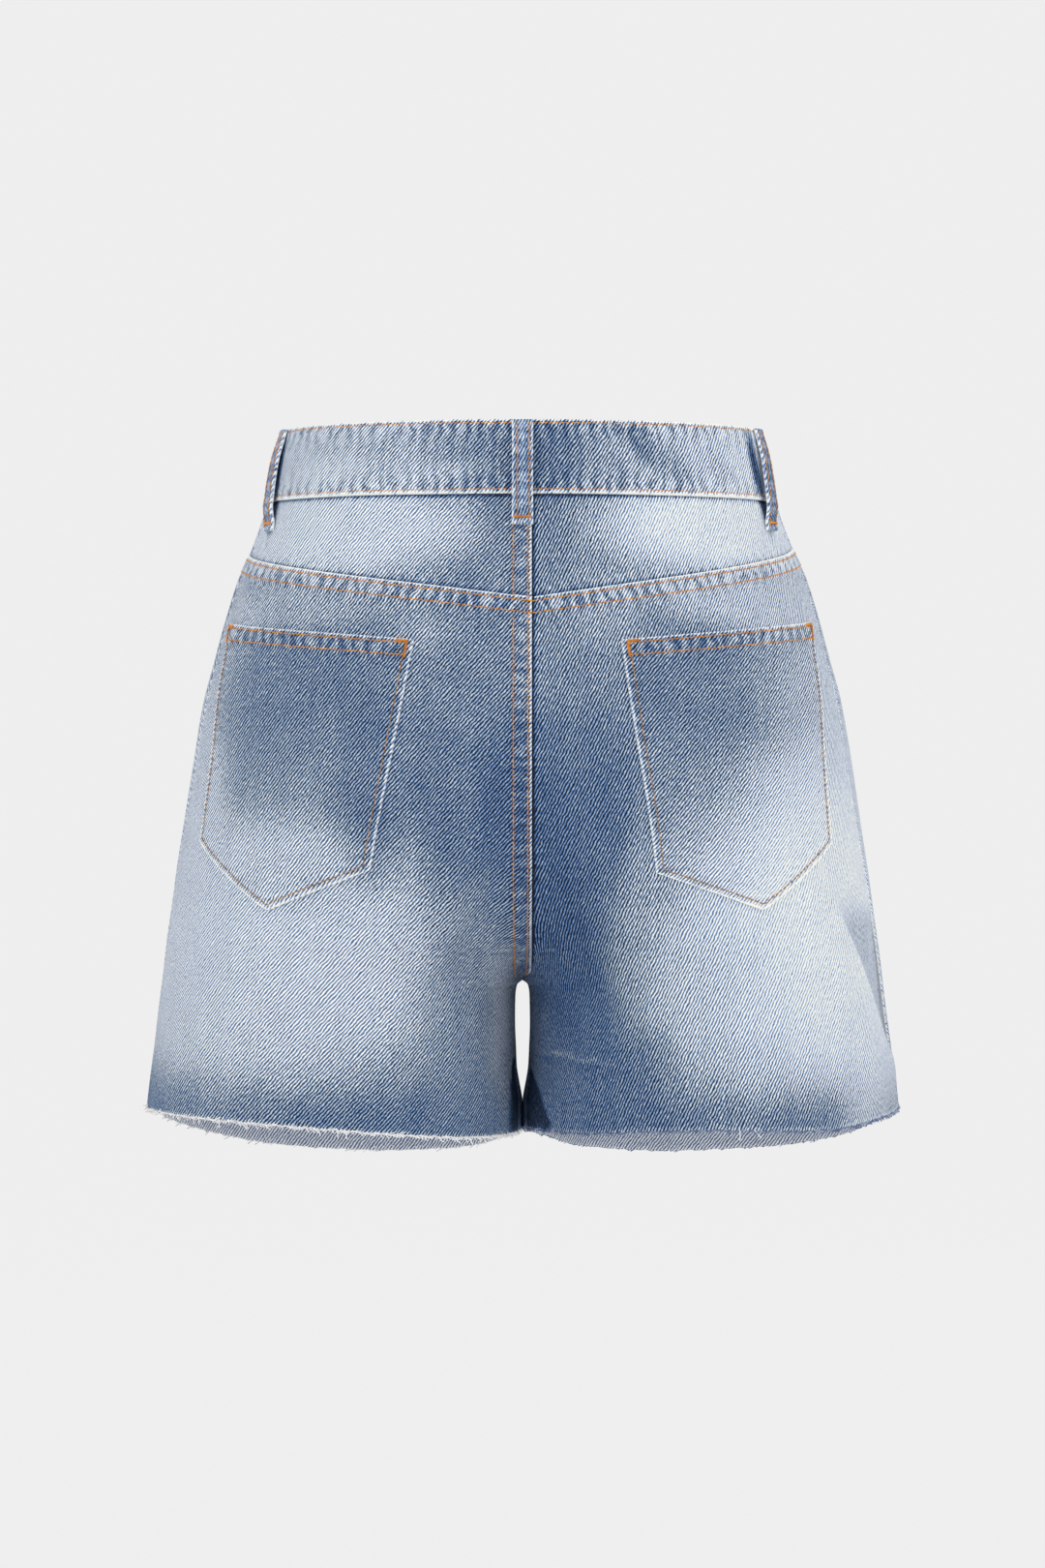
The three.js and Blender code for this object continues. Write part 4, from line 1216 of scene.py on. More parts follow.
def leg_panel(side, face):
    """A leg panel: its grid, the bands of its seams, its fading with painted light and shade, and
    its flat map.
    """
    tables = leg_tables[side, face]
    drop, hem = panel_drops(side, face, tables)
    turn = turns_from(tables, drop)
    base = plain_point(side, turn, drop)
    from_side = run_lengths(base, 1)
    from_inner = from_side[:, -1:] - from_side
    lift = side_lift(from_side)
    is_back = face == "back"
    is_over = is_back and side > 0
    seams = [(from_side + 0.8, drop, plain_pucker(from_side) * 0.7)]
    if is_back:
        from_yoke = drop - drop[0]
        lift = lift * ease(9, 12, from_yoke)
        lift = np.maximum(lift, fell_lift(from_yoke))
        seams.append((from_yoke, from_side, fell_pucker(from_yoke)))
    if is_over:
        closing = 1 - ease(CROTCH_DROP - 6, CROTCH_DROP, drop)
        lift = np.maximum(lift, fell_lift(from_inner) * closing)
        strength = fell_pucker(from_inner) * closing * 0.6
        seams.append((from_inner + 3 * (1 - closing), drop, strength))
    else:
        seams.append((from_inner + 4, drop, plain_pucker(from_inner) * 0.8))
    off, run, pucker = nearest_seam(seams)
    outer = cloth_point(side, turn, drop, lift, face)
    inner = cloth_point(side, turn, drop, -DENIM, face)
    level = panel_level(side, face, base[..., 0], drop, hem - drop, from_inner)
    outer_grids[f"{face}_{SIDES[side]}"] = outer
    return shell(
        f"{face}_panel_{SIDES[side]}",
        outer,
        inner,
        across_map(base, side, drop),
        denim_back[side] if is_back else denim_front,
        wear=level,
        off=off,
        run=run,
        pucker=pucker,
    )


back_panels = {side: leg_panel(side, "back") for side in SIDES}
front_panels = {side: leg_panel(side, "front") for side in SIDES}

# %% [markdown]
# ## Yokes
# The yoke is the V-shaped piece between the waistband and the seat. It gives jeans their curve over
# the small of the back. Its lower edge goes under the folded edge of the leg panel.

# %% Making the yokes
YOKE_ROW_SHARES = np.linspace(0, 1, 24)


def yoke(side):
    """A yoke, from under the waistband to under the leg panel."""
    tables = leg_tables[side, "back"]
    share = column_turns(side, YOKE_SEAM_MIDDLE, "back")[1]
    seam = yoke_seam(side, share) + 0.05
    top = BAND_DEPTH + 0.05
    drop = top + np.outer(YOKE_ROW_SHARES, seam - top)
    turn = turns_from(tables, drop)
    base = plain_point(side, turn, drop)
    from_side = run_lengths(base, 1)
    from_inner = from_side[:, -1:] - from_side
    to_seam = seam - drop
    from_band = drop - top
    lift = side_lift(from_side) - 0.35 * bell(to_seam, 1.2)
    lift = lift - 0.5 * bell(from_band, 1.5)
    seams = [
        (from_side + 0.8, drop, plain_pucker(from_side) * 0.7),
        (to_seam + 4, from_side, plain_pucker(to_seam) * 0.9),
        (from_band + 4, from_side, plain_pucker(from_band) * 0.6),
    ]
    if side > 0:
        lift = np.maximum(lift, fell_lift(from_inner) * ease(0, 2, from_band))
        seams.append((from_inner, drop, fell_pucker(from_inner) * 0.6))
    off, run, pucker = nearest_seam(seams)
    outer = cloth_point(side, turn, drop, lift, "back")
    inner = cloth_point(side, turn, drop, -DENIM, "back")
    # the back's marks, with their painted light and shade
    level = airbrush(PANEL_LEVEL, base[..., 0], drop, BACK_WASH_LIGHT_AND_SHADE)
    # painted shadow under the waistband's edge, under the leg panel's folded edge, and on the right
    # yoke beside the left one's fold
    level -= PAINTED_EDGE_SHADOW * bell(from_band, 1.3)
    level -= 0.5 * PAINTED_EDGE_SHADOW * bell(to_seam, 1.1)
    if side < 0:
        level -= PAINTED_EDGE_SHADOW * bell(from_inner, 1.4)
    outer_grids[f"yoke_{SIDES[side]}"] = outer
    return shell(
        f"yoke_piece_{SIDES[side]}",
        outer,
        inner,
        across_map(base, side, drop),
        denim_back[side],
        wear=level,
        off=off,
        run=run,
        pucker=pucker,
    )


yokes = {side: yoke(side) for side in SIDES}

# %% [markdown]
# ## Waistband
# The waistband is a strip folded double and turned in at both edges. Its halves were dyed in
# different vats, and the photograph shows it: the left half is paler. They meet at the centre back,
# under the loop. At the front the left end laps over the right one and carries the button.

# %% Making the waistband
BAND_LAP_PAST = 14
BAND_LAP_RISE = 9
BAND_ROWS = [0, 0.5, 1.2, 2, 3, 4.4] + list(np.linspace(6, 35, 14)) + [36.4, 37.5, 38.6, 39.4, 39.95]
BAND_LIFT_DROPS = [0, 0.5, 1.2, 2, 3.2, 20, 35, 37.5, 38.6, 39.4, 39.95]
BAND_LIFTS = [-0.5, -0.05, 0.15, 0, 0.25, 0.3, 0.85, 0.6, 1, 0.9, 0.4]
BAND_ENDS = [0, 0.5, 1.3, 2.4, 3.8]
BAND_END_REACH = 5.4


def waistband(side):
    """A half of the waistband. The left one also laps over the right one at the front."""
    is_left = side > 0
    past = BAND_LAP_PAST if is_left else -PARTED
    ends = [(turn_at_x(d, 0.05, "back"), turn_at_x(d, -past, "front")) for d in BAND_ROWS]
    reach = along(0, *ends[0])[0]
    middle = list(np.linspace(BAND_END_REACH, reach - BAND_END_REACH, 150))
    distance = np.array(BAND_ENDS + middle + [reach - end for end in BAND_ENDS[::-1]])
    turn = []
    for drop, (start, end) in zip(BAND_ROWS, ends):
        length, turn_after = along(drop, start, end)
        turn.append(turn_after(distance / reach * length))
    turn = np.array(turn)
    drop = np.repeat(np.array(BAND_ROWS)[:, None], len(distance), axis=1)
    lift = np.interp(drop, BAND_LIFT_DROPS, BAND_LIFTS)
    if is_left:
        rise = (BAND_CLOTH + PARTED) * ease(reach - past - BAND_LAP_RISE, reach - past, distance)
        lift = lift + rise
        inside = rise - BAND_CLOTH
    else:
        inside = -BAND_CLOTH
    outer = cloth_point(side, turn, drop, lift, "back")
    inner = cloth_point(side, turn, drop, inside, "back")
    x = outer[..., 0]
    # the back's marks include painted shadow beside the side loops and the painted light and shade
    # of wrinkles
    at_back = airbrush(0.55, x, drop, BAND_WASH_LIGHT_AND_SHADE)
    at_front = airbrush(0.6, x, drop, BAND_FRONT_WASH)
    level = at_front + (at_back - at_front) * ease(-30, 30, outer[..., 1])
    level += 0.3 * bell(BAND_DEPTH - 1.2 - drop, 0.9)
    off = np.minimum(drop, BAND_DEPTH - drop)
    run = np.broadcast_to(distance, drop.shape)
    outer_grids[f"waistband_{SIDES[side]}"] = outer
    return shell(
        f"waistband_half_{SIDES[side]}",
        outer,
        inner,
        np.stack([run * side, -drop], -1),
        denim_band[side],
        wear=level,
        off=off,
        run=run,
        pucker=np.interp(off, [0, 2, 5, 9, 14, 20], [0.6, 1, 0.85, 0.5, 0.25, 0.1]),
    )


waistbands = {side: waistband(side) for side in SIDES}

# %% [markdown]
# ## Pockets
# A patch pocket is a flat piece with its edges turned under, sewn on all but the top. It follows
# the seat, a hair above the panel. Its outline is typed as distances round the cloth from the
# middle of the back, because that is how a tailor marks it.

# %% A map of distances round the back and the front
ROUND_DROPS = np.arange(0, 300, 1.0)
ROUND_DISTANCES = np.arange(0, 262, 1.0)
BEYOND_SIDE = 0.6


def round_table(face):
    """The turn at each drop and each distance round from the middle of a face."""
    sign = 1 if face == "back" else -1
    rows = []
    for drop in ROUND_DROPS:
        start = turn_at_x(drop, 0, face)
        rows.append(along(drop, start, -sign * BEYOND_SIDE)[1](ROUND_DISTANCES))
    return np.array(rows)


ROUND = {face: round_table(face) for face in ("back", "front")}


def turn_around(drop, distance, face):
    """The turn at a distance round the cloth from the middle."""
    sign = 1 if face == "back" else -1
    table = ROUND[face]
    i = np.clip(drop, 0, len(ROUND_DROPS) - 1.001)
    j = np.clip(distance, 0, len(ROUND_DISTANCES) - 1.001)
    i0 = i.astype(int)
    j0 = j.astype(int)
    a = i - i0
    b = j - j0
    turn = (1 - a) * ((1 - b) * table[i0, j0] + b * table[i0, j0 + 1])
    turn = turn + a * ((1 - b) * table[i0 + 1, j0] + b * table[i0 + 1, j0 + 1])
    return np.where(distance < 0, turn - sign * distance / PAST_TURN, turn)


# %% Making the pockets
# top inner, top outer, side outer, point, side inner
POCKETS = {
    1: [(57.4, 117.8), (186, 107.2), (194, 224.8), (139.7, 260.7), (80.3, 238.8)],
    -1: [(51.9, 117.9), (181, 106.3), (180, 225.7), (131.1, 260.4), (70.7, 240.3)],
}
POCKET_HEM = 12
POCKET_HEM_RISE = 0.42
# distance below a pocket's top, and how far its folded hem stands up there
POCKET_HEM_PLACES = [0, 0.4, 1.2, 2.3, 4, 7.4, 8.7, 10, 12, 13]
POCKET_HEM_LIFTS = [-0.2, 0.35, 0.7, 0.45, 0.75, 0.75, 0.45, 0.6, 0.35, 0]
POCKET_EDGE_STEPS = [0, 0.4, 1.1, 2.2, 3.6, 5.2, 7.2]
POCKET_WIDTH = 124
POCKET_DEPTH = 132
POCKET_LEVEL = 0.36


def edge_spread(length, count):
    """Places from 0 to length, crowded at both ends."""
    close = np.array(POCKET_EDGE_STEPS)
    middle = np.linspace(close[-1], length - close[-1], count)[1:-1]
    return np.concatenate([close, middle, length - close[::-1]])


def pocket_plan(side, across, down):
    """Where a share across and down the pocket lies on the cloth."""
    top_in, top_out, side_out, point, side_in = [np.array(c) for c in POCKETS[side]]
    s = across[..., None]
    t = down[..., None]
    top = top_in + (top_out - top_in) * s
    inner_half = side_in + (point - side_in) * np.minimum(s * 2, 1)
    bottom = np.where(s < 0.5, inner_half, point + (side_out - point) * (s * 2 - 1))
    return top + (bottom - top) * t


def edge_distance(side, place):
    """The distance to the pocket's outline, and to its top edge, in the flat."""
    corners = [np.array(c, float) for c in POCKETS[side]]
    nearest = np.full(place.shape[:-1], 1e9)
    for i, corner in enumerate(corners):
        step = corners[(i + 1) % 5] - corner
        length = np.hypot(*step)
        way = place - corner
        aside = np.abs(way[..., 0] * step[1] - way[..., 1] * step[0]) / length
        if i == 0:
            top = aside
        nearest = np.minimum(nearest, aside)
    return nearest, top


def pocket(side):
    """A patch pocket, laid on the back panel."""
    across = edge_spread(POCKET_WIDTH, 46) / POCKET_WIDTH
    down = edge_spread(POCKET_DEPTH, 52) / POCKET_DEPTH
    s, t = np.meshgrid(across, down)
    place = pocket_plan(side, s, t)
    distance = place[..., 0]
    drop = place[..., 1]
    turn = turn_around(drop, distance, "back")
    nearest, from_top = edge_distance(side, place)
    edge = np.interp(nearest, [0, 0.4, 1.2, 2.6, 4, 6], [-0.45, 0.05, 0.3, 0.05, 0.25, 0.3])
    hem = np.interp(from_top, POCKET_HEM_PLACES, POCKET_HEM_LIFTS)
    hem = hem * np.maximum(ease(0.5, 3, nearest) * (from_top < 14), 0.6 * (from_top < 3))
    out = PARTED + POCKET_CLOTH + np.maximum(edge, hem)
    outer = cloth_point(side, turn, drop, out, "back")
    inner = cloth_point(side, turn, drop, 0.1, "back")
    base = plain_point(side, turn, drop)
    # the back's marks, painted light and shade among them
    level = airbrush(POCKET_LEVEL, base[..., 0], drop, BACK_WASH_LIGHT_AND_SHADE)
    return shell(
        f"pocket_patch_{SIDES[side]}",
        outer,
        inner,
        np.stack([distance * side, -drop], -1),
        denim_pocket,
        wear=level - 0.08 * ease(190, 150, drop),
        off=nearest,
        run=np.where(from_top <= nearest + 0.01, distance, drop),
        pucker=np.maximum(plain_pucker(nearest) * 0.9, fell_pucker(from_top + 0.5) * 0.9),
    )


pockets = {side: pocket(side) for side in SIDES}

# %% [markdown]
# ## Belt loops
# A loop is a narrow folded strip, caught at the top of the waistband and below it, with a slack
# arch between for the belt.

# %% Making the loops
LOOP_WIDTH = 11.5
# name, side, face, distance round from the middle, height of what its foot is sewn to
LOOPS = [
    ("loop_back", 1, "back", 0, 1.2),
    ("loop_side_left", 1, "back", 160, 0.2),
    ("loop_side_right", -1, "back", 154, 0.2),
    ("loop_front_left", 1, "front", 88, 0.2),
    ("loop_front_right", -1, "front", 88, 0.2),
]
LOOP_LEVEL = 0.32
# how much paler the loops of the left side are
LEFT_LOOPS_PALER = 0.1
LOOP_PUCKER = 0.45
# drop, distance out from the cloth
LOOP_LINE = [
    (0.6, 0.45),
    (4, 1.3),
    (8.5, 3.9),
    (14, 5.5),
    (24, 5.9),
    (34, 5.5),
    (42, 3.8),
    (48, 1.1),
    (51, 0.4),
    (57, 0.3),
]
# the loops at the sides are pulled tighter at the top
SIDE_LOOP_LINE = [
    (0.6, 0.4),
    (4, 0.8),
    (8.5, 1.3),
    (14, 1.8),
    (24, 2.6),
    (34, 3.3),
    (42, 3.5),
    (48, 2.3),
    (52, 0.8),
    (57, 0.3),
]
back_loop_out_at = smooth_line(LOOP_LINE, 1)
side_loop_out_at = smooth_line(SIDE_LOOP_LINE, 1)


def loop_out_at(loop, drop):
    """How far a loop's inner face stands off the cloth."""
    return side_loop_out_at(drop) if "side" in loop[0] else back_loop_out_at(drop)


def loop_surface(loop, across, drop, out):
    """Points a distance out from the cloth under a loop."""
    side, face, middle, seat = loop[1:]
    turn = turn_around(drop, middle + across, face)
    lift = out + seat * ease(BAND_DEPTH, BAND_DEPTH + 5, drop)
    return cloth_point(side, turn, drop, lift, face)


def belt_loop(loop):
    """A folded strip with rounded edges and a slack arch for the belt."""
    name, side = loop[:2]
    half = LOOP_WIDTH / 2
    inner_half = np.array([0, 2, 3.6, half - 1.2, half - 0.4, half])
    across = np.concatenate([-inner_half[:0:-1], inner_half])
    down = np.concatenate([[0.6, 1.1], np.arange(2, 56, 1.1), [56.4, 57]])
    x, drop = np.meshgrid(across, down)
    to_edge = half - np.abs(x)
    round_off = np.interp(to_edge, [0, 0.4, 1.2, 2.1, 3.2], [-0.7, -0.2, 0.05, -0.15, 0])
    out = loop_out_at(loop, drop)
    outer = loop_surface(loop, x, drop, out + LOOP_CLOTH + round_off)
    inner = loop_surface(loop, x, drop, out)
    centre = 0.12 * bell(x, 1.5)
    level = LOOP_LEVEL + centre - 0.1 * bell(drop - 24, 9)
    return shell(
        name + "_strip",
        outer,
        inner,
        np.stack([x * side, -drop], -1),
        denim_loop,
        wear=level + (LEFT_LOOPS_PALER if side > 0 else 0.0),
        off=to_edge,
        run=drop,
        pucker=np.full(x.shape, LOOP_PUCKER),
    )


loops = {loop[0]: belt_loop(loop) for loop in LOOPS}

# %% [markdown]
# ## Fly
# The front isn't in the photograph, so it is finished plainly: a lapped fly with a curved foot over
# the joint of the two fronts, and a shield behind it.

# %% Making the fly and its shield
FLY_WIDTH = 34
FLY_LAP = 1.5
FLY_DROP = 172
FLY_STRAIGHT = 6
FLY_CURVE = 26
FLY_LEVEL = 0.36
SHIELD_HALF = 22
SHIELD_DROP = 165
SHIELD_CLOTH = 1.4
SHIELD_BEHIND = 0.6
SHIELD_LEVEL = 0.4
NO_SEAM_NEAR = 20.0


def front_turns(x, drop):
    turns = [turn_at_x(down, across, "front") for across, down in zip(x.ravel(), drop.ravel())]
    return np.array(turns).reshape(x.shape)


def fly_bottom(x):
    """The drop of the fly's curved foot."""
    bend = np.clip((x - FLY_STRAIGHT) / (FLY_WIDTH - FLY_STRAIGHT), 0, 1)
    return FLY_DROP - FLY_CURVE * (1 - np.sqrt(1 - bend**2))


def fly_piece():
    """The lapped fly, on the left front and just past the middle."""
    x = np.concatenate([[-1.5, -1.1, -0.3], np.linspace(1.2, 31, 15), [32.2, 33, 33.6, 34]])
    share = np.concatenate([[0], np.linspace(0.01, 0.97, 56), [0.985, 0.995, 1]])
    top = BAND_DEPTH + PARTED
    across, part = np.meshgrid(x, share)
    drop = top + (fly_bottom(across) - top) * part
    turn = front_turns(across, drop)
    to_edge = np.minimum(across + FLY_LAP, 60)
    to_foot = fly_bottom(across) - drop
    nearest = np.minimum(to_edge, np.minimum(to_foot, FLY_WIDTH - across))
    out = PARTED + DENIM + np.interp(nearest, [0, 0.4, 1.2, 2.5, 4], [-0.6, -0.1, 0.15, 0, 0.1])
    outer = cloth_point(1, turn, drop, out, "front")
    inner = cloth_point(1, turn, drop, 0.1, "front")
    return shell(
        "fly_flap",
        outer,
        inner,
        np.stack([-across, -drop], -1),
        denim_front,
        wear=airbrush(FLY_LEVEL, outer[..., 0], drop, FRONT_WASH),
        off=nearest,
        run=drop,
        pucker=plain_pucker(nearest),
    )


def shield_piece():
    """The straight piece behind the fly, across the joint of both fronts."""
    x = np.linspace(-SHIELD_HALF, SHIELD_HALF, 21)
    share = np.linspace(0, 1, 50)
    top = BAND_DEPTH + PARTED
    across, part = np.meshgrid(x, share)
    drop = top + (SHIELD_DROP - top) * part
    is_right = (across < 0)[..., None]
    turn = front_turns(np.abs(across), drop)
    surfaces = []
    for out in (-DENIM - SHIELD_BEHIND, -DENIM - SHIELD_BEHIND - SHIELD_CLOTH):
        left = cloth_point(1, turn, drop, out, "front")
        right = cloth_point(-1, turn, drop, out, "front")
        surfaces.append(np.where(is_right, right, left))
    return shell(
        "fly_shield_piece",
        *surfaces,
        np.stack([-across, -drop], -1),
        denim_front,
        wear=np.full(drop.shape, SHIELD_LEVEL),
        off=np.full(drop.shape, NO_SEAM_NEAR),
        run=drop,
        pucker=np.zeros(drop.shape),
    )


fly_flap = fly_piece()
fly_shield = shield_piece()

# %% [markdown]
# ## Sewing
# Topstitching is hundreds of short thread bumps in a row. Geometry Nodes lay one small bead on each
# step along a guide line, turned along the line and up from the cloth. The same tree makes the bar
# tacks, where the stitches lie close together and across the line.


# %% Steps that the trees share
def steps_along(tree, guide, spacing):
    """Evenly spaced points along the guide's lines."""
    line = put(tree, "GeometryNodeMeshToCurve", {"Mesh": guide})
    sockets = {"Curve": line.outputs[0], "Length": spacing}
    return put(tree, "GeometryNodeResampleCurve", sockets, mode="LENGTH").outputs[0]


def swayed_along(tree, sway):
    """A rotation out from the cloth and along the guide, and then turned by some more."""
    facing = put(
        tree, "GeometryNodeInputNamedAttribute", {"Name": "facing"}, data_type="FLOAT_VECTOR"
    )
    tangent = put(tree, "GeometryNodeInputTangent")
    straight = put(
        tree,
        "FunctionNodeAxesToRotation",
        {0: facing.outputs[0], 1: tangent.outputs[0]},
        primary_axis="Z",
        secondary_axis="X",
    )
    turned = put(tree, "FunctionNodeEulerToRotation", {0: sway})
    return put(
        tree,
        "FunctionNodeRotateRotation",
        {0: straight.outputs[0], 1: turned.outputs[0]},
        rotation_space="LOCAL",
    ).outputs[0]


def finish_tree(tree, copies, material, name):
    """Makes the copies real, gives them their material and puts them out."""
    real = put(tree, "GeometryNodeRealizeInstances", {0: copies.outputs[0]})
    finished = put(
        tree, "GeometryNodeSetMaterial", {"Geometry": real.outputs[0], "Material": material}
    )
    put(tree, "NodeGroupOutput", {name: finished.outputs[0]})


# %% The stitch tree
STITCH_SWAY = 0.12


def make_stitch_tree():
    """One bead of thread on each step of a guide."""
    tree = bpy.data.node_groups.new("Stitch row", "GeometryNodeTree")
    socket(tree, "Guide", "NodeSocketGeometry")
    socket(tree, "Pitch", "NodeSocketFloat", value=0.0029)
    socket(tree, "Length", "NodeSocketFloat", value=0.0023)
    socket(tree, "Width", "NodeSocketFloat", value=0.0008)
    socket(tree, "Height", "NodeSocketFloat", value=0.0006)
    socket(tree, "Turn", "NodeSocketFloat", value=0.0)
    socket(tree, "Seed", "NodeSocketInt", value=3)
    socket(tree, "Thread", "NodeSocketMaterial")
    socket(tree, "Stitches", "NodeSocketGeometry", "OUTPUT")
    given = put(tree, "NodeGroupInput").outputs
    steps = steps_along(tree, given["Guide"], given["Pitch"])
    bead = put(tree, "GeometryNodeMeshUVSphere", {"Segments": 6, "Rings": 5, "Radius": 0.5})
    size = put(
        tree,
        "ShaderNodeCombineXYZ",
        {"X": given["Height"], "Y": given["Width"], "Z": given["Length"]},
    )
    laid = put(
        tree,
        "GeometryNodeTransform",
        {"Geometry": bead.outputs[0], "Scale": size.outputs[0], "Rotation": (0, math.pi / 2, 0)},
    )
    sway = put(
        tree,
        "FunctionNodeRandomValue",
        {2: -STITCH_SWAY, 3: STITCH_SWAY, "Seed": given["Seed"]},
        data_type="FLOAT",
    )
    turned = figure(tree, "ADD", given["Turn"], sway.outputs[1])
    about = put(tree, "ShaderNodeCombineXYZ", {"Z": turned})
    whole = swayed_along(tree, about.outputs[0])
    copies = put(
        tree,
        "GeometryNodeInstanceOnPoints",
        {"Points": steps, "Instance": laid.outputs[0], "Rotation": whole},
    )
    finish_tree(tree, copies, given["Thread"], "Stitches")
    return tree


stitch_tree = make_stitch_tree()


# %% Turning a guide into a plain mesh
def guide_mesh(name, lines):
    """A mesh of open lines, each point with the way the cloth faces there."""
    points = np.concatenate([line for line, facing in lines]) * MM
    facings = np.concatenate([facing for line, facing in lines])
    edges = []
    start = 0
    for line, facing in lines:
        edges += [(start + i, start + i + 1) for i in range(len(line) - 1)]
        start += len(line)
    mesh = bpy.data.meshes.new(name)
    mesh.from_pydata(points.tolist(), edges, [])
    attribute = mesh.attributes.new("facing", "FLOAT_VECTOR", "POINT")
    attribute.data.foreach_set("vector", facings.astype(np.float32).ravel())
    return mesh


def grow(name, mesh, tree, choices):
    """Runs a tree on a guide and keeps the result as a plain mesh object."""
    guide = place_mesh(name + "_guide", mesh)
    modifier = guide.modifiers.new("tree", "NODES")
    modifier.node_group = tree
    for item in tree.interface.items_tree:
        if item.item_type == "SOCKET" and item.in_out == "INPUT" and item.name in choices:
            modifier[item.identifier] = choices[item.name]
    ready = guide.evaluated_get(bpy.context.evaluated_depsgraph_get())
    made = bpy.data.meshes.new_from_object(ready)
    made.name = name
    bpy.data.objects.remove(guide)
    print(name, "has", len(made.polygons), "faces")
    return place_mesh(name, made)


# %% The thread's material
def make_thread(name, bright, dull):
    material, tree, shader = new_material(name)
    place = put(tree, "ShaderNodeTexCoord").outputs["Object"]
    faded = soft_step(tree, noise(tree, place, 160, 3, 0.6), 0.32, 0.68)
    mixed = put(tree, "ShaderNodeMix", {0: faded, 6: bright, 7: dull}, data_type="RGBA")
    tree.links.new(mixed.outputs[2], shader.inputs["Base Color"])
    twist = put(tree, "ShaderNodeBump", {"Height": noise(tree, place, 2600, 1), "Strength": 0.4})
    twist.inputs["Distance"].default_value = 0.0002
    tree.links.new(twist.outputs[0], shader.inputs["Normal"])
    shader.inputs["Roughness"].default_value = 0.62
    return material


orange_thread = make_thread("orange_thread", linear(228, 150, 44), linear(180, 112, 36))
faded_thread = make_thread("faded_thread", linear(184, 128, 66), linear(124, 98, 74))
tack_thread = make_thread("tack_thread", linear(236, 150, 40), linear(202, 122, 36))

# a topstitch, and a stitch of a bar tack
STITCH = {"Pitch": 2.9 * MM, "Length": 2.5 * MM, "Width": 0.85 * MM, "Height": 0.75 * MM}
TACK = {"Pitch": 0.55 * MM, "Length": 1.5 * MM, "Width": 0.55 * MM, "Height": 0.7 * MM}
TACK["Turn"] = math.pi / 2


def sew(name, lines, choices, thread, seed):
    """Sews a thread along lines."""
    settings = {**choices, "Thread": thread, "Seed": seed}
    return grow(name, guide_mesh(name, lines), stitch_tree, settings)


# %% [markdown]
# The guide lines come from the panels' own grids. A row of the back panel lies exactly on each
# stitch line of the yoke seam, and a column on each line of the centre seam.


# %% Guides on the panels
def grid_line(key, side, row=None, column=None, raise_by=0.12, cut=slice(None)):
    """A stitch line along a row or a column of a piece's own grid."""
    outer = outer_grids[key]
    facing = grid_facing(outer, side)
    line = outer[row, cut] if row is not None else outer[cut, column]
    up = facing[row, cut] if row is not None else facing[cut, column]
    return line + up * raise_by, up


yoke_lines = []
for side, word in SIDES.items():
    for distance in FELL_STITCHES:
        row = FELL_ROWS.index(distance)
        yoke_lines.append(grid_line(f"back_{word}", side, row=row, cut=slice(1, -2)))

GUIDE_STEP = 2.5
CENTRE_SEWING_END = 298


def upright_line(x, start, end, lift):
    """A stitch line straight down the back at one distance from the middle."""
    drop = np.arange(start, end, GUIDE_STEP)
    turn = np.array([turn_at_x(place, x, "back") for place in drop])
    return cloth_point(1, turn, drop, lift, "back"), outwards(1, turn, drop)


centre_lines = []
for distance in CENTRE_STITCHES:
    column = FOLD_DISTANCES.index(distance) - len(FOLD_DISTANCES)
    centre_lines.append(grid_line("yoke_left", 1, column=column))
for distance, start, lift in zip(CENTRE_STITCHES, (97, 107), (1.1, 1.05)):
    centre_lines.append(upright_line(distance - BACK_SEAM_X, start, CENTRE_SEWING_END, lift))
yoke_stitches = sew("yoke_stitches", yoke_lines, STITCH, orange_thread, 3)
centre_stitches = sew("centre_stitches", centre_lines, STITCH, orange_thread, 5)

# %% Guides on the waistband
BAND_STITCHES = (2, 37.5)

band_lines = []
for side, word in SIDES.items():
    for drop in BAND_STITCHES:
        row = BAND_ROWS.index(drop)
        band_lines.append(grid_line(f"waistband_{word}", side, row=row, cut=slice(1, -3)))
band_lines.append(grid_line("waistband_left", 1, column=-4, cut=slice(3, -4)))
band_stitches = sew("band_stitches", band_lines, STITCH, orange_thread, 7)


# %% Guides on the pockets
def inset_outline(side, insets):
    """The pocket's outline moved in by one distance for each edge, as open lines between corners."""
    corners = np.array(POCKETS[side], float)
    centre = corners.mean(axis=0)
    lines = []
    for i in range(5):
        start = corners[i]
        step = corners[(i + 1) % 5] - start
        normal = np.array([step[1], -step[0]]) / np.hypot(*step)
        if np.dot(centre - start, normal) < 0:
            normal = -normal
        lines.append((start + normal * insets[i], step))
    points = []
    for i in range(5):
        (a, u), (b, v) = lines[i - 1], lines[i]
        t = np.linalg.solve(np.array([u, -v]).T, b - a)[0]
        points.append(a + u * t)
    return points


def on_pocket(side, plan, raise_by=0.25):
    """A line drawn on the flat pocket, laid on the cloth."""
    dense = [plan[0]]
    for start, end in zip(plan[:-1], plan[1:]):
        steps = max(2, int(np.hypot(*(end - start)) / GUIDE_STEP))
        dense += [start + (end - start) * k / steps for k in range(1, steps + 1)]
    dense = np.array(dense)
    drop = dense[:, 1]
    turn = turn_around(drop, dense[:, 0], "back")
    top_in, top_out = (np.array(c) for c in POCKETS[side][:2])
    way = top_out - top_in
    from_top = np.abs((dense - top_in) @ np.array([-way[1], way[0]])) / np.hypot(*way)
    hem = POCKET_HEM_RISE * (from_top < POCKET_HEM)
    out = PARTED + POCKET_CLOTH + 0.05 + hem + raise_by
    return cloth_point(side, turn, drop, out, "back"), outwards(side, turn, drop)


# insets of the stitches and of the bar tacks from the pocket's edges: top, outer side, outer foot,
# inner foot, inner side
POCKET_INSETS = [2.3, 3, 3, 3, 4]
TACK_INSETS = [1.2, 2, 3, 3, 3]
SECOND_TOP_INSET = 8.8
TACK_ACROSS = 6
TACK_DOWN = 8.5
TACK_RISE = 0.4

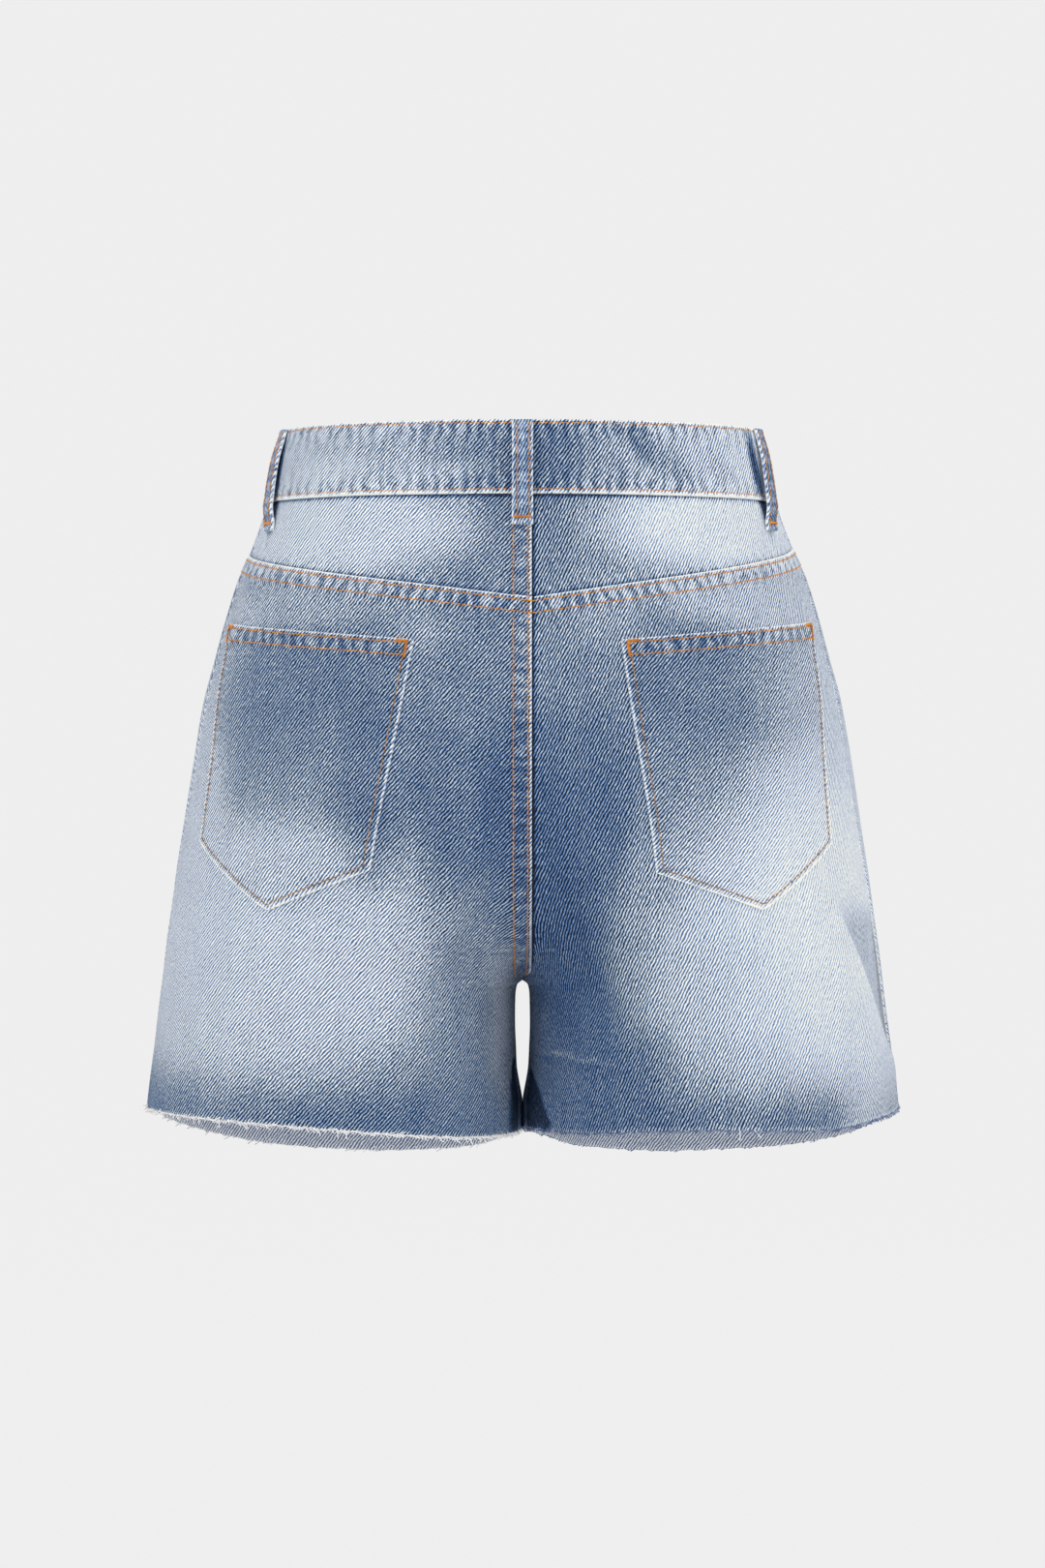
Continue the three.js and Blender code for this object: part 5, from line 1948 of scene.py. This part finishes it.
pocket_lines = []
pocket_edge_lines = []
tack_lines = []
for side in SIDES:
    ring = inset_outline(side, POCKET_INSETS)
    lower = inset_outline(side, [SECOND_TOP_INSET] + POCKET_INSETS[1:])
    pocket_lines.append(on_pocket(side, [ring[0], ring[1]]))
    pocket_lines.append(on_pocket(side, [lower[0], lower[1]]))
    pocket_edge_lines.append(on_pocket(side, [ring[1], ring[2], ring[3], ring[4], ring[0]]))
    edge = inset_outline(side, TACK_INSETS)
    for corner, way in ((edge[0], 1), (edge[1], -1)):
        along_top = (edge[1] - edge[0]) / np.hypot(*(edge[1] - edge[0])) * way
        across_line = [corner, corner + along_top * TACK_ACROSS]
        near = edge[4] if way == 1 else edge[2]
        down = (near - corner) / np.hypot(*(near - corner))
        down_line = [corner + down, corner + down * TACK_DOWN]
        tack_lines += [on_pocket(side, line, TACK_RISE) for line in (across_line, down_line)]
pocket_stitches = sew("pocket_stitches", pocket_lines, STITCH, orange_thread, 11)
pocket_edge_stitches = sew("pocket_edge_stitches", pocket_edge_lines, STITCH, faded_thread, 12)

# %% Guides on the loops and the fly
LOOP_STITCHES = (-3.7, 2.9)
LOOP_TACK_HALF = 4.6
LOOP_TACK_DROP = 53.2


def on_loop(loop, across, drop, raise_by):
    """A line on the outer face of a loop, with the way that face looks."""
    out = loop_out_at(loop, drop) + LOOP_CLOTH
    line = loop_surface(loop, across, drop, out + raise_by)
    above = loop_surface(loop, across, drop, out + raise_by + 1)
    return line, above - line


loop_lines = []
for loop in LOOPS:
    drop = np.arange(3, 55, 1.5)
    for x in LOOP_STITCHES:
        loop_lines.append(on_loop(loop, np.full(drop.shape, x), drop, 0.12))
    across = np.linspace(-LOOP_TACK_HALF, LOOP_TACK_HALF, 8)
    tack_lines.append(on_loop(loop, across, np.full(across.shape, LOOP_TACK_DROP), 0.35))
loop_stitches = sew("loop_stitches", loop_lines, STITCH, orange_thread, 13)


def on_fly(plan, raise_by):
    """A line of (x, drop) laid on the fly."""
    plan = np.array(plan, float)
    turn = front_turns(plan[:, 0], plan[:, 1])
    out = np.full(len(plan), PARTED + DENIM + raise_by)
    line = cloth_point(1, turn, plan[:, 1], out, "front")
    return line, outwards(1, turn, plan[:, 1])


FLY_STITCH_INSETS = (3, 9)
FLY_STITCH_TOP = 44
FLY_TACK_DROP = 150

fly_lines = []
for inset in FLY_STITCH_INSETS:
    right = FLY_WIDTH - inset
    low = FLY_DROP - inset
    bend = FLY_CURVE - inset
    plan = [(right, drop) for drop in np.arange(FLY_STITCH_TOP, low - bend, GUIDE_STEP)]
    for angle in np.linspace(0, math.pi / 2, 12):
        across = FLY_STRAIGHT + (right - FLY_STRAIGHT) * math.cos(angle)
        plan.append((across, low - bend + bend * math.sin(angle)))
    plan += [(x, low) for x in np.linspace(FLY_STRAIGHT, 1, 3)[1:]]
    fly_lines.append(on_fly(plan, 0.2))
edge_drops = np.arange(FLY_STITCH_TOP, FLY_DROP - 4, GUIDE_STEP)
fly_lines.append(on_fly([(0.8, drop) for drop in edge_drops], 0.2))
tack_lines.append(on_fly([(x, FLY_TACK_DROP) for x in np.linspace(20, 30, 6)], 0.35))
tack_lines.append(on_fly([(x, FLY_DROP - 2) for x in np.linspace(0, 8, 5)], 0.35))
fly_stitches = sew("fly_stitches", fly_lines, STITCH, orange_thread, 17)
bar_tacks = sew("bar_tacks", tack_lines, TACK, tack_thread, 19)

# %% The buttonhole
BUTTON_DROP = 20
HOLE_START = -3
HOLE_END = 15
HOLE_HALF = 1.3


def on_lap(plan, raise_by):
    """A line of (x, drop) on the left end of the waistband, where it laps over the right one."""
    plan = np.array(plan, float)
    turn = front_turns(plan[:, 0], plan[:, 1])
    lap = (BAND_CLOTH + PARTED) * (1 - ease(0, BAND_LAP_RISE, plan[:, 0]))
    line = cloth_point(1, turn, plan[:, 1], lap + 0.3 + raise_by, "back")
    return line, outwards(1, turn, plan[:, 1])


hole_places = np.linspace(HOLE_START, HOLE_END, 10)
hole_plan = [(x, BUTTON_DROP - HOLE_HALF) for x in hole_places]
hole_plan += [(HOLE_END + HOLE_HALF, BUTTON_DROP)]
hole_plan += [(x, BUTTON_DROP + HOLE_HALF) for x in hole_places[::-1]]
buttonhole = sew("buttonhole", [on_lap(hole_plan, 0.15)], TACK, tack_thread, 23)

# %% [markdown]
# ## Frayed hems
# Cut denim sheds its weft, and the warp threads stay as a short fringe. Geometry Nodes hang a bent
# thread on each step along the raw edge, in three shapes, turned and scaled by chance from a fixed
# seed. Some longer loose ends hang among them. They are longest on the left hem, as the photograph
# shows.

# %% The fray tree
# middle and end of a thread one unit long that hangs down: along the hem, up, out
FRAY_BENDS = [
    ((0.05, -0.45, 0.14), (-0.1, -1, 0.06)),
    ((-0.2, -0.5, 0.02), (0.12, -0.95, 0.2)),
    ((0.3, -0.3, 0.12), (0.62, -0.7, 0)),
]


def make_fray_tree():
    """A short bent thread on each step of a raw edge."""
    tree = bpy.data.node_groups.new("Frayed edge", "GeometryNodeTree")
    socket(tree, "Edge", "NodeSocketGeometry")
    socket(tree, "Spacing", "NodeSocketFloat", value=0.0007)
    socket(tree, "Shortest", "NodeSocketFloat", value=0.001)
    socket(tree, "Longest", "NodeSocketFloat", value=0.003)
    socket(tree, "Stoutness", "NodeSocketFloat", value=0.08)
    socket(tree, "Tilt", "NodeSocketFloat", value=0.0)
    socket(tree, "Spread", "NodeSocketFloat", value=0.5)
    socket(tree, "Lean", "NodeSocketFloat", value=0.4)
    socket(tree, "Seed", "NodeSocketInt", value=1)
    socket(tree, "Cotton", "NodeSocketMaterial")
    socket(tree, "Threads", "NodeSocketGeometry", "OUTPUT")
    given = put(tree, "NodeGroupInput").outputs
    steps = steps_along(tree, given["Edge"], given["Spacing"])
    shapes = put(tree, "GeometryNodeJoinGeometry")
    profile = put(
        tree,
        "GeometryNodeCurvePrimitiveCircle",
        {"Resolution": 3, "Radius": given["Stoutness"]},
    )
    for middle, end in FRAY_BENDS:
        strand = put(
            tree,
            "GeometryNodeCurveQuadraticBezier",
            {"Resolution": 3, "Start": (0, 0.2, 0), "Middle": middle, "End": end},
        )
        tube = put(
            tree,
            "GeometryNodeCurveToMesh",
            {"Curve": strand.outputs[0], "Profile Curve": profile.outputs[0]},
        )
        one = put(tree, "GeometryNodeGeometryToInstance", {0: tube.outputs[0]})
        tree.links.new(one.outputs[0], shapes.inputs[0])
    least = figure(tree, "SUBTRACT", given["Tilt"], given["Spread"])
    most = figure(tree, "ADD", given["Tilt"], given["Spread"])
    inwards = figure(tree, "MULTIPLY", given["Lean"], -1.0)
    low = put(tree, "ShaderNodeCombineXYZ", {"X": inwards, "Z": least})
    high = put(tree, "ShaderNodeCombineXYZ", {"X": given["Lean"], "Z": most})
    sway = put(
        tree,
        "FunctionNodeRandomValue",
        {0: low.outputs[0], 1: high.outputs[0], "Seed": given["Seed"]},
        data_type="FLOAT_VECTOR",
    )
    whole = swayed_along(tree, sway.outputs[0])
    last_shape = len(FRAY_BENDS) - 1
    pick = put(
        tree,
        "FunctionNodeRandomValue",
        {4: 0, 5: last_shape, "Seed": given["Seed"]},
        data_type="INT",
    )
    length = put(
        tree,
        "FunctionNodeRandomValue",
        {2: given["Shortest"], 3: given["Longest"], "Seed": given["Seed"]},
        data_type="FLOAT",
    )
    copies = put(
        tree,
        "GeometryNodeInstanceOnPoints",
        {
            "Points": steps,
            "Instance": shapes.outputs[0],
            "Pick Instance": True,
            "Instance Index": pick.outputs[2],
            "Rotation": whole,
            "Scale": length.outputs[1],
        },
    )
    finish_tree(tree, copies, given["Cotton"], "Threads")
    return tree


fray_tree = make_fray_tree()


# %% Cotton for the fringe
def make_cotton(name, white, blue, whiteness):
    material, tree, shader = new_material(name)
    place = put(tree, "ShaderNodeTexCoord").outputs["Object"]
    mask = soft_step(tree, noise(tree, place, 380, 2, 0.7), whiteness - 0.08, whiteness + 0.08)
    mixed = put(tree, "ShaderNodeMix", {0: mask, 6: white, 7: blue}, data_type="RGBA")
    tree.links.new(mixed.outputs[2], shader.inputs["Base Color"])
    shader.inputs["Roughness"].default_value = 0.9
    shader.inputs["Sheen Weight"].default_value = 0.3
    return material


white_cotton = make_cotton("white_cotton", linear(250, 250, 250), linear(196, 206, 220), 0.7)
blue_cotton = make_cotton("blue_cotton", linear(158, 174, 200), linear(82, 106, 148), 0.46)


# %% Hanging the fringe
def hem_lines(side):
    """The raw edges of one leg, each with the way that makes the fringe hang down."""
    lines = []
    for face in ("back", "front"):
        outer = outer_grids[f"{face}_{SIDES[side]}"]
        facing = grid_facing(outer, side)[-1]
        middle = outer[-1] + facing * 0.1
        is_backwards = side < 0 if face == "back" else side > 0
        if is_backwards:
            middle = middle[::-1]
            facing = facing[::-1]
        lines.append((middle, facing))
    return lines


SHORT_FRAY = {"Spacing": 0.6 * MM, "Shortest": 0.9 * MM, "Longest": 2 * MM, "Stoutness": 0.2}
LONG_FRAY = {"Spacing": 2.1 * MM, "Shortest": 2 * MM, "Stoutness": 0.09}
LONGEST_THREAD = 4.4
HEM_SWAY = {"Tilt": 0.85, "Spread": 0.75, "Lean": 0.45}
# for each leg, its cotton and how much of the longest thread's length its loose threads reach
HEM_FRAY = {1: (white_cotton, 1.0), -1: (blue_cotton, 0.55)}

fringes = {}
long_threads = {}
for side, word in SIDES.items():
    cotton, share = HEM_FRAY[side]
    hanging = {**HEM_SWAY, "Seed": 4 + side, "Cotton": cotton}
    edge = guide_mesh(f"short_fray_{word}", hem_lines(side))
    fringes[side] = grow(f"hem_fringe_{word}", edge, fray_tree, {**SHORT_FRAY, **hanging})
    hanging["Longest"] = LONGEST_THREAD * share * MM
    edge = guide_mesh(f"long_fray_{word}", hem_lines(side))
    long_threads[side] = grow(f"loose_threads_{word}", edge, fray_tree, {**LONG_FRAY, **hanging})

# %% [markdown]
# A white thread hangs loose on the right hem, where the photograph shows it. It is two strands.

# %% The loose thread
LOOSE_X = -116
LOOSE_LOOK = {"Spacing": 20 * MM, "Shortest": 5 * MM, "Longest": 5.6 * MM, "Stoutness": 0.06}
LOOSE_SWAY = {"Tilt": 0.25, "Spread": 0.1, "Lean": 0.1, "Seed": 2}


def loose_thread():
    """The two strands, on a short stretch of the right hem."""
    outer = outer_grids["back_right"]
    column = int(np.argmin(np.abs(outer[-1, :, 0] - LOOSE_X)))
    line = outer[-1, column - 2 : column + 2][::-1]
    facing = grid_facing(outer, -1)[-1, column - 2 : column + 2][::-1]
    mesh = guide_mesh("loose_thread", [(line + facing * 0.4, facing)])
    choices = {**LOOSE_LOOK, **LOOSE_SWAY, "Cotton": white_cotton}
    return grow("loose_thread", mesh, fray_tree, choices)


lone_thread = loose_thread()

# %% [markdown]
# ## Button
# A shank button is stamped metal: a dished face inside a rolled rim. A profile spun round its axis
# makes it, and worn copper with darker patches colours it.

# %% Making the button
BUTTON_PAST = 3
BUTTON_SPOKES = 48
SHARP_METAL_DEGREES = 50


def make_button():
    """A shank button, spun from its profile of radius and height."""
    profile = [
        (0, 0),
        (4.5, 0),
        (4.5, 1),
        (7.4, 1),
        (7.9, 1.25),
        (8.3, 1.9),
        (8.3, 2.8),
        (7.9, 3.6),
        (7.2, 4.15),
        (6.4, 4.2),
        (5.7, 4.05),
        (5.2, 3.55),
        (4.7, 3.3),
        (3, 3.35),
        (1.6, 3.55),
        (0, 3.65),
    ]
    turn = turn_at_x(BUTTON_DROP, -BUTTON_PAST, "front")
    place = np.array([turn])
    drop = np.array([float(BUTTON_DROP)])
    seat = cloth_point(1, place, drop, BAND_CLOTH + 3 * PARTED, "back")[0]
    axis = outwards(1, place, drop)[0]
    across = np.cross(axis, [0, 0, 1])
    across /= np.linalg.norm(across)
    upright = np.cross(across, axis)
    points = [seat + axis * profile[0][1]]
    for radius, height in profile[1:-1]:
        for k in range(BUTTON_SPOKES):
            angle = 2 * math.pi * k / BUTTON_SPOKES
            spoke = across * math.cos(angle) + upright * math.sin(angle)
            points.append(seat + axis * height + radius * spoke)
    points.append(seat + axis * profile[-1][1])
    last = len(points) - 1
    top = last - BUTTON_SPOKES
    steps = [(k, (k + 1) % BUTTON_SPOKES) for k in range(BUTTON_SPOKES)]
    faces = [(0, 1 + after, 1 + k) for k, after in steps]
    for first in range(1, top, BUTTON_SPOKES):
        above = first + BUTTON_SPOKES
        faces += [(first + k, first + after, above + after, above + k) for k, after in steps]
    faces += [(top + k, top + after, last) for k, after in steps]
    mesh = bpy.data.meshes.new("shank_button")
    mesh.from_pydata((np.array(points) * MM).tolist(), [], faces)
    metal, tree, shader = new_material("copper_metal")
    spot = put(tree, "ShaderNodeTexCoord").outputs["Object"]
    rubbed = soft_step(tree, noise(tree, spot, 420, 4, 0.6), 0.35, 0.65)
    tone = put(
        tree,
        "ShaderNodeMix",
        {0: rubbed, 6: linear(176, 116, 78), 7: linear(120, 74, 50)},
        data_type="RGBA",
    )
    tree.links.new(tone.outputs[2], shader.inputs["Base Color"])
    gloss = put(tree, "ShaderNodeMapRange", {"Value": rubbed, "To Min": 0.28, "To Max": 0.5})
    tree.links.new(gloss.outputs[0], shader.inputs["Roughness"])
    shader.inputs["Metallic"].default_value = 1
    mesh.materials.append(metal)
    made = place_mesh("shank_button", mesh)
    mesh.set_sharp_from_angle(angle=SHARP_METAL_DEGREES * DEGREE)
    return made


button = make_button()

# %% [markdown]
# ## Joining it to the frame
# Each dressed piece rides on the part's one body and stands for the CAD node under it. The sewing
# is fixed to the same body.

# %% Pieces and the nodes they stand for
dressed = []
for side, word in SIDES.items():
    dressed += [
        (waistbands[side], f"waistband_{word}", f"denim_band_{word}"),
        (yokes[side], f"yoke_{word}", "denim_back"),
        (back_panels[side], f"back_{word}", "denim_back"),
        (front_panels[side], f"front_{word}", "denim_front"),
        (pockets[side], f"pocket_{word}", "denim_pocket"),
        (fringes[side], f"hem_fray_{word}", "fray"),
    ]
dressed += [(loops[name], name, "denim_loop") for name in loops]
dressed += [(fly_flap, "fly", "denim_front"), (fly_shield, "fly_shield", "denim_front")]
dressed += [(button, "button", "button_metal")]
for piece, node_name, slot_name in dressed:
    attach(piece, "root")
    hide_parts(node_name)
sewing = (
    yoke_stitches,
    centre_stitches,
    band_stitches,
    pocket_stitches,
    pocket_edge_stitches,
    loop_stitches,
    fly_stitches,
    bar_tacks,
    buttonhole,
)
for piece in sewing:
    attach(piece, "root")
for piece in (*long_threads.values(), lone_thread):
    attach(piece, "root")

# %% [markdown]
# Each piece of cloth printed its largest width and length along its grid and the area of one face
# when it was built. Last comes the box round everything that is drawn, in millimetres.

# %% Sizes and the end
low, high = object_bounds()
print("visual box in millimetres:", [round((b - a) / MM, 1) for a, b in zip(low, high)])
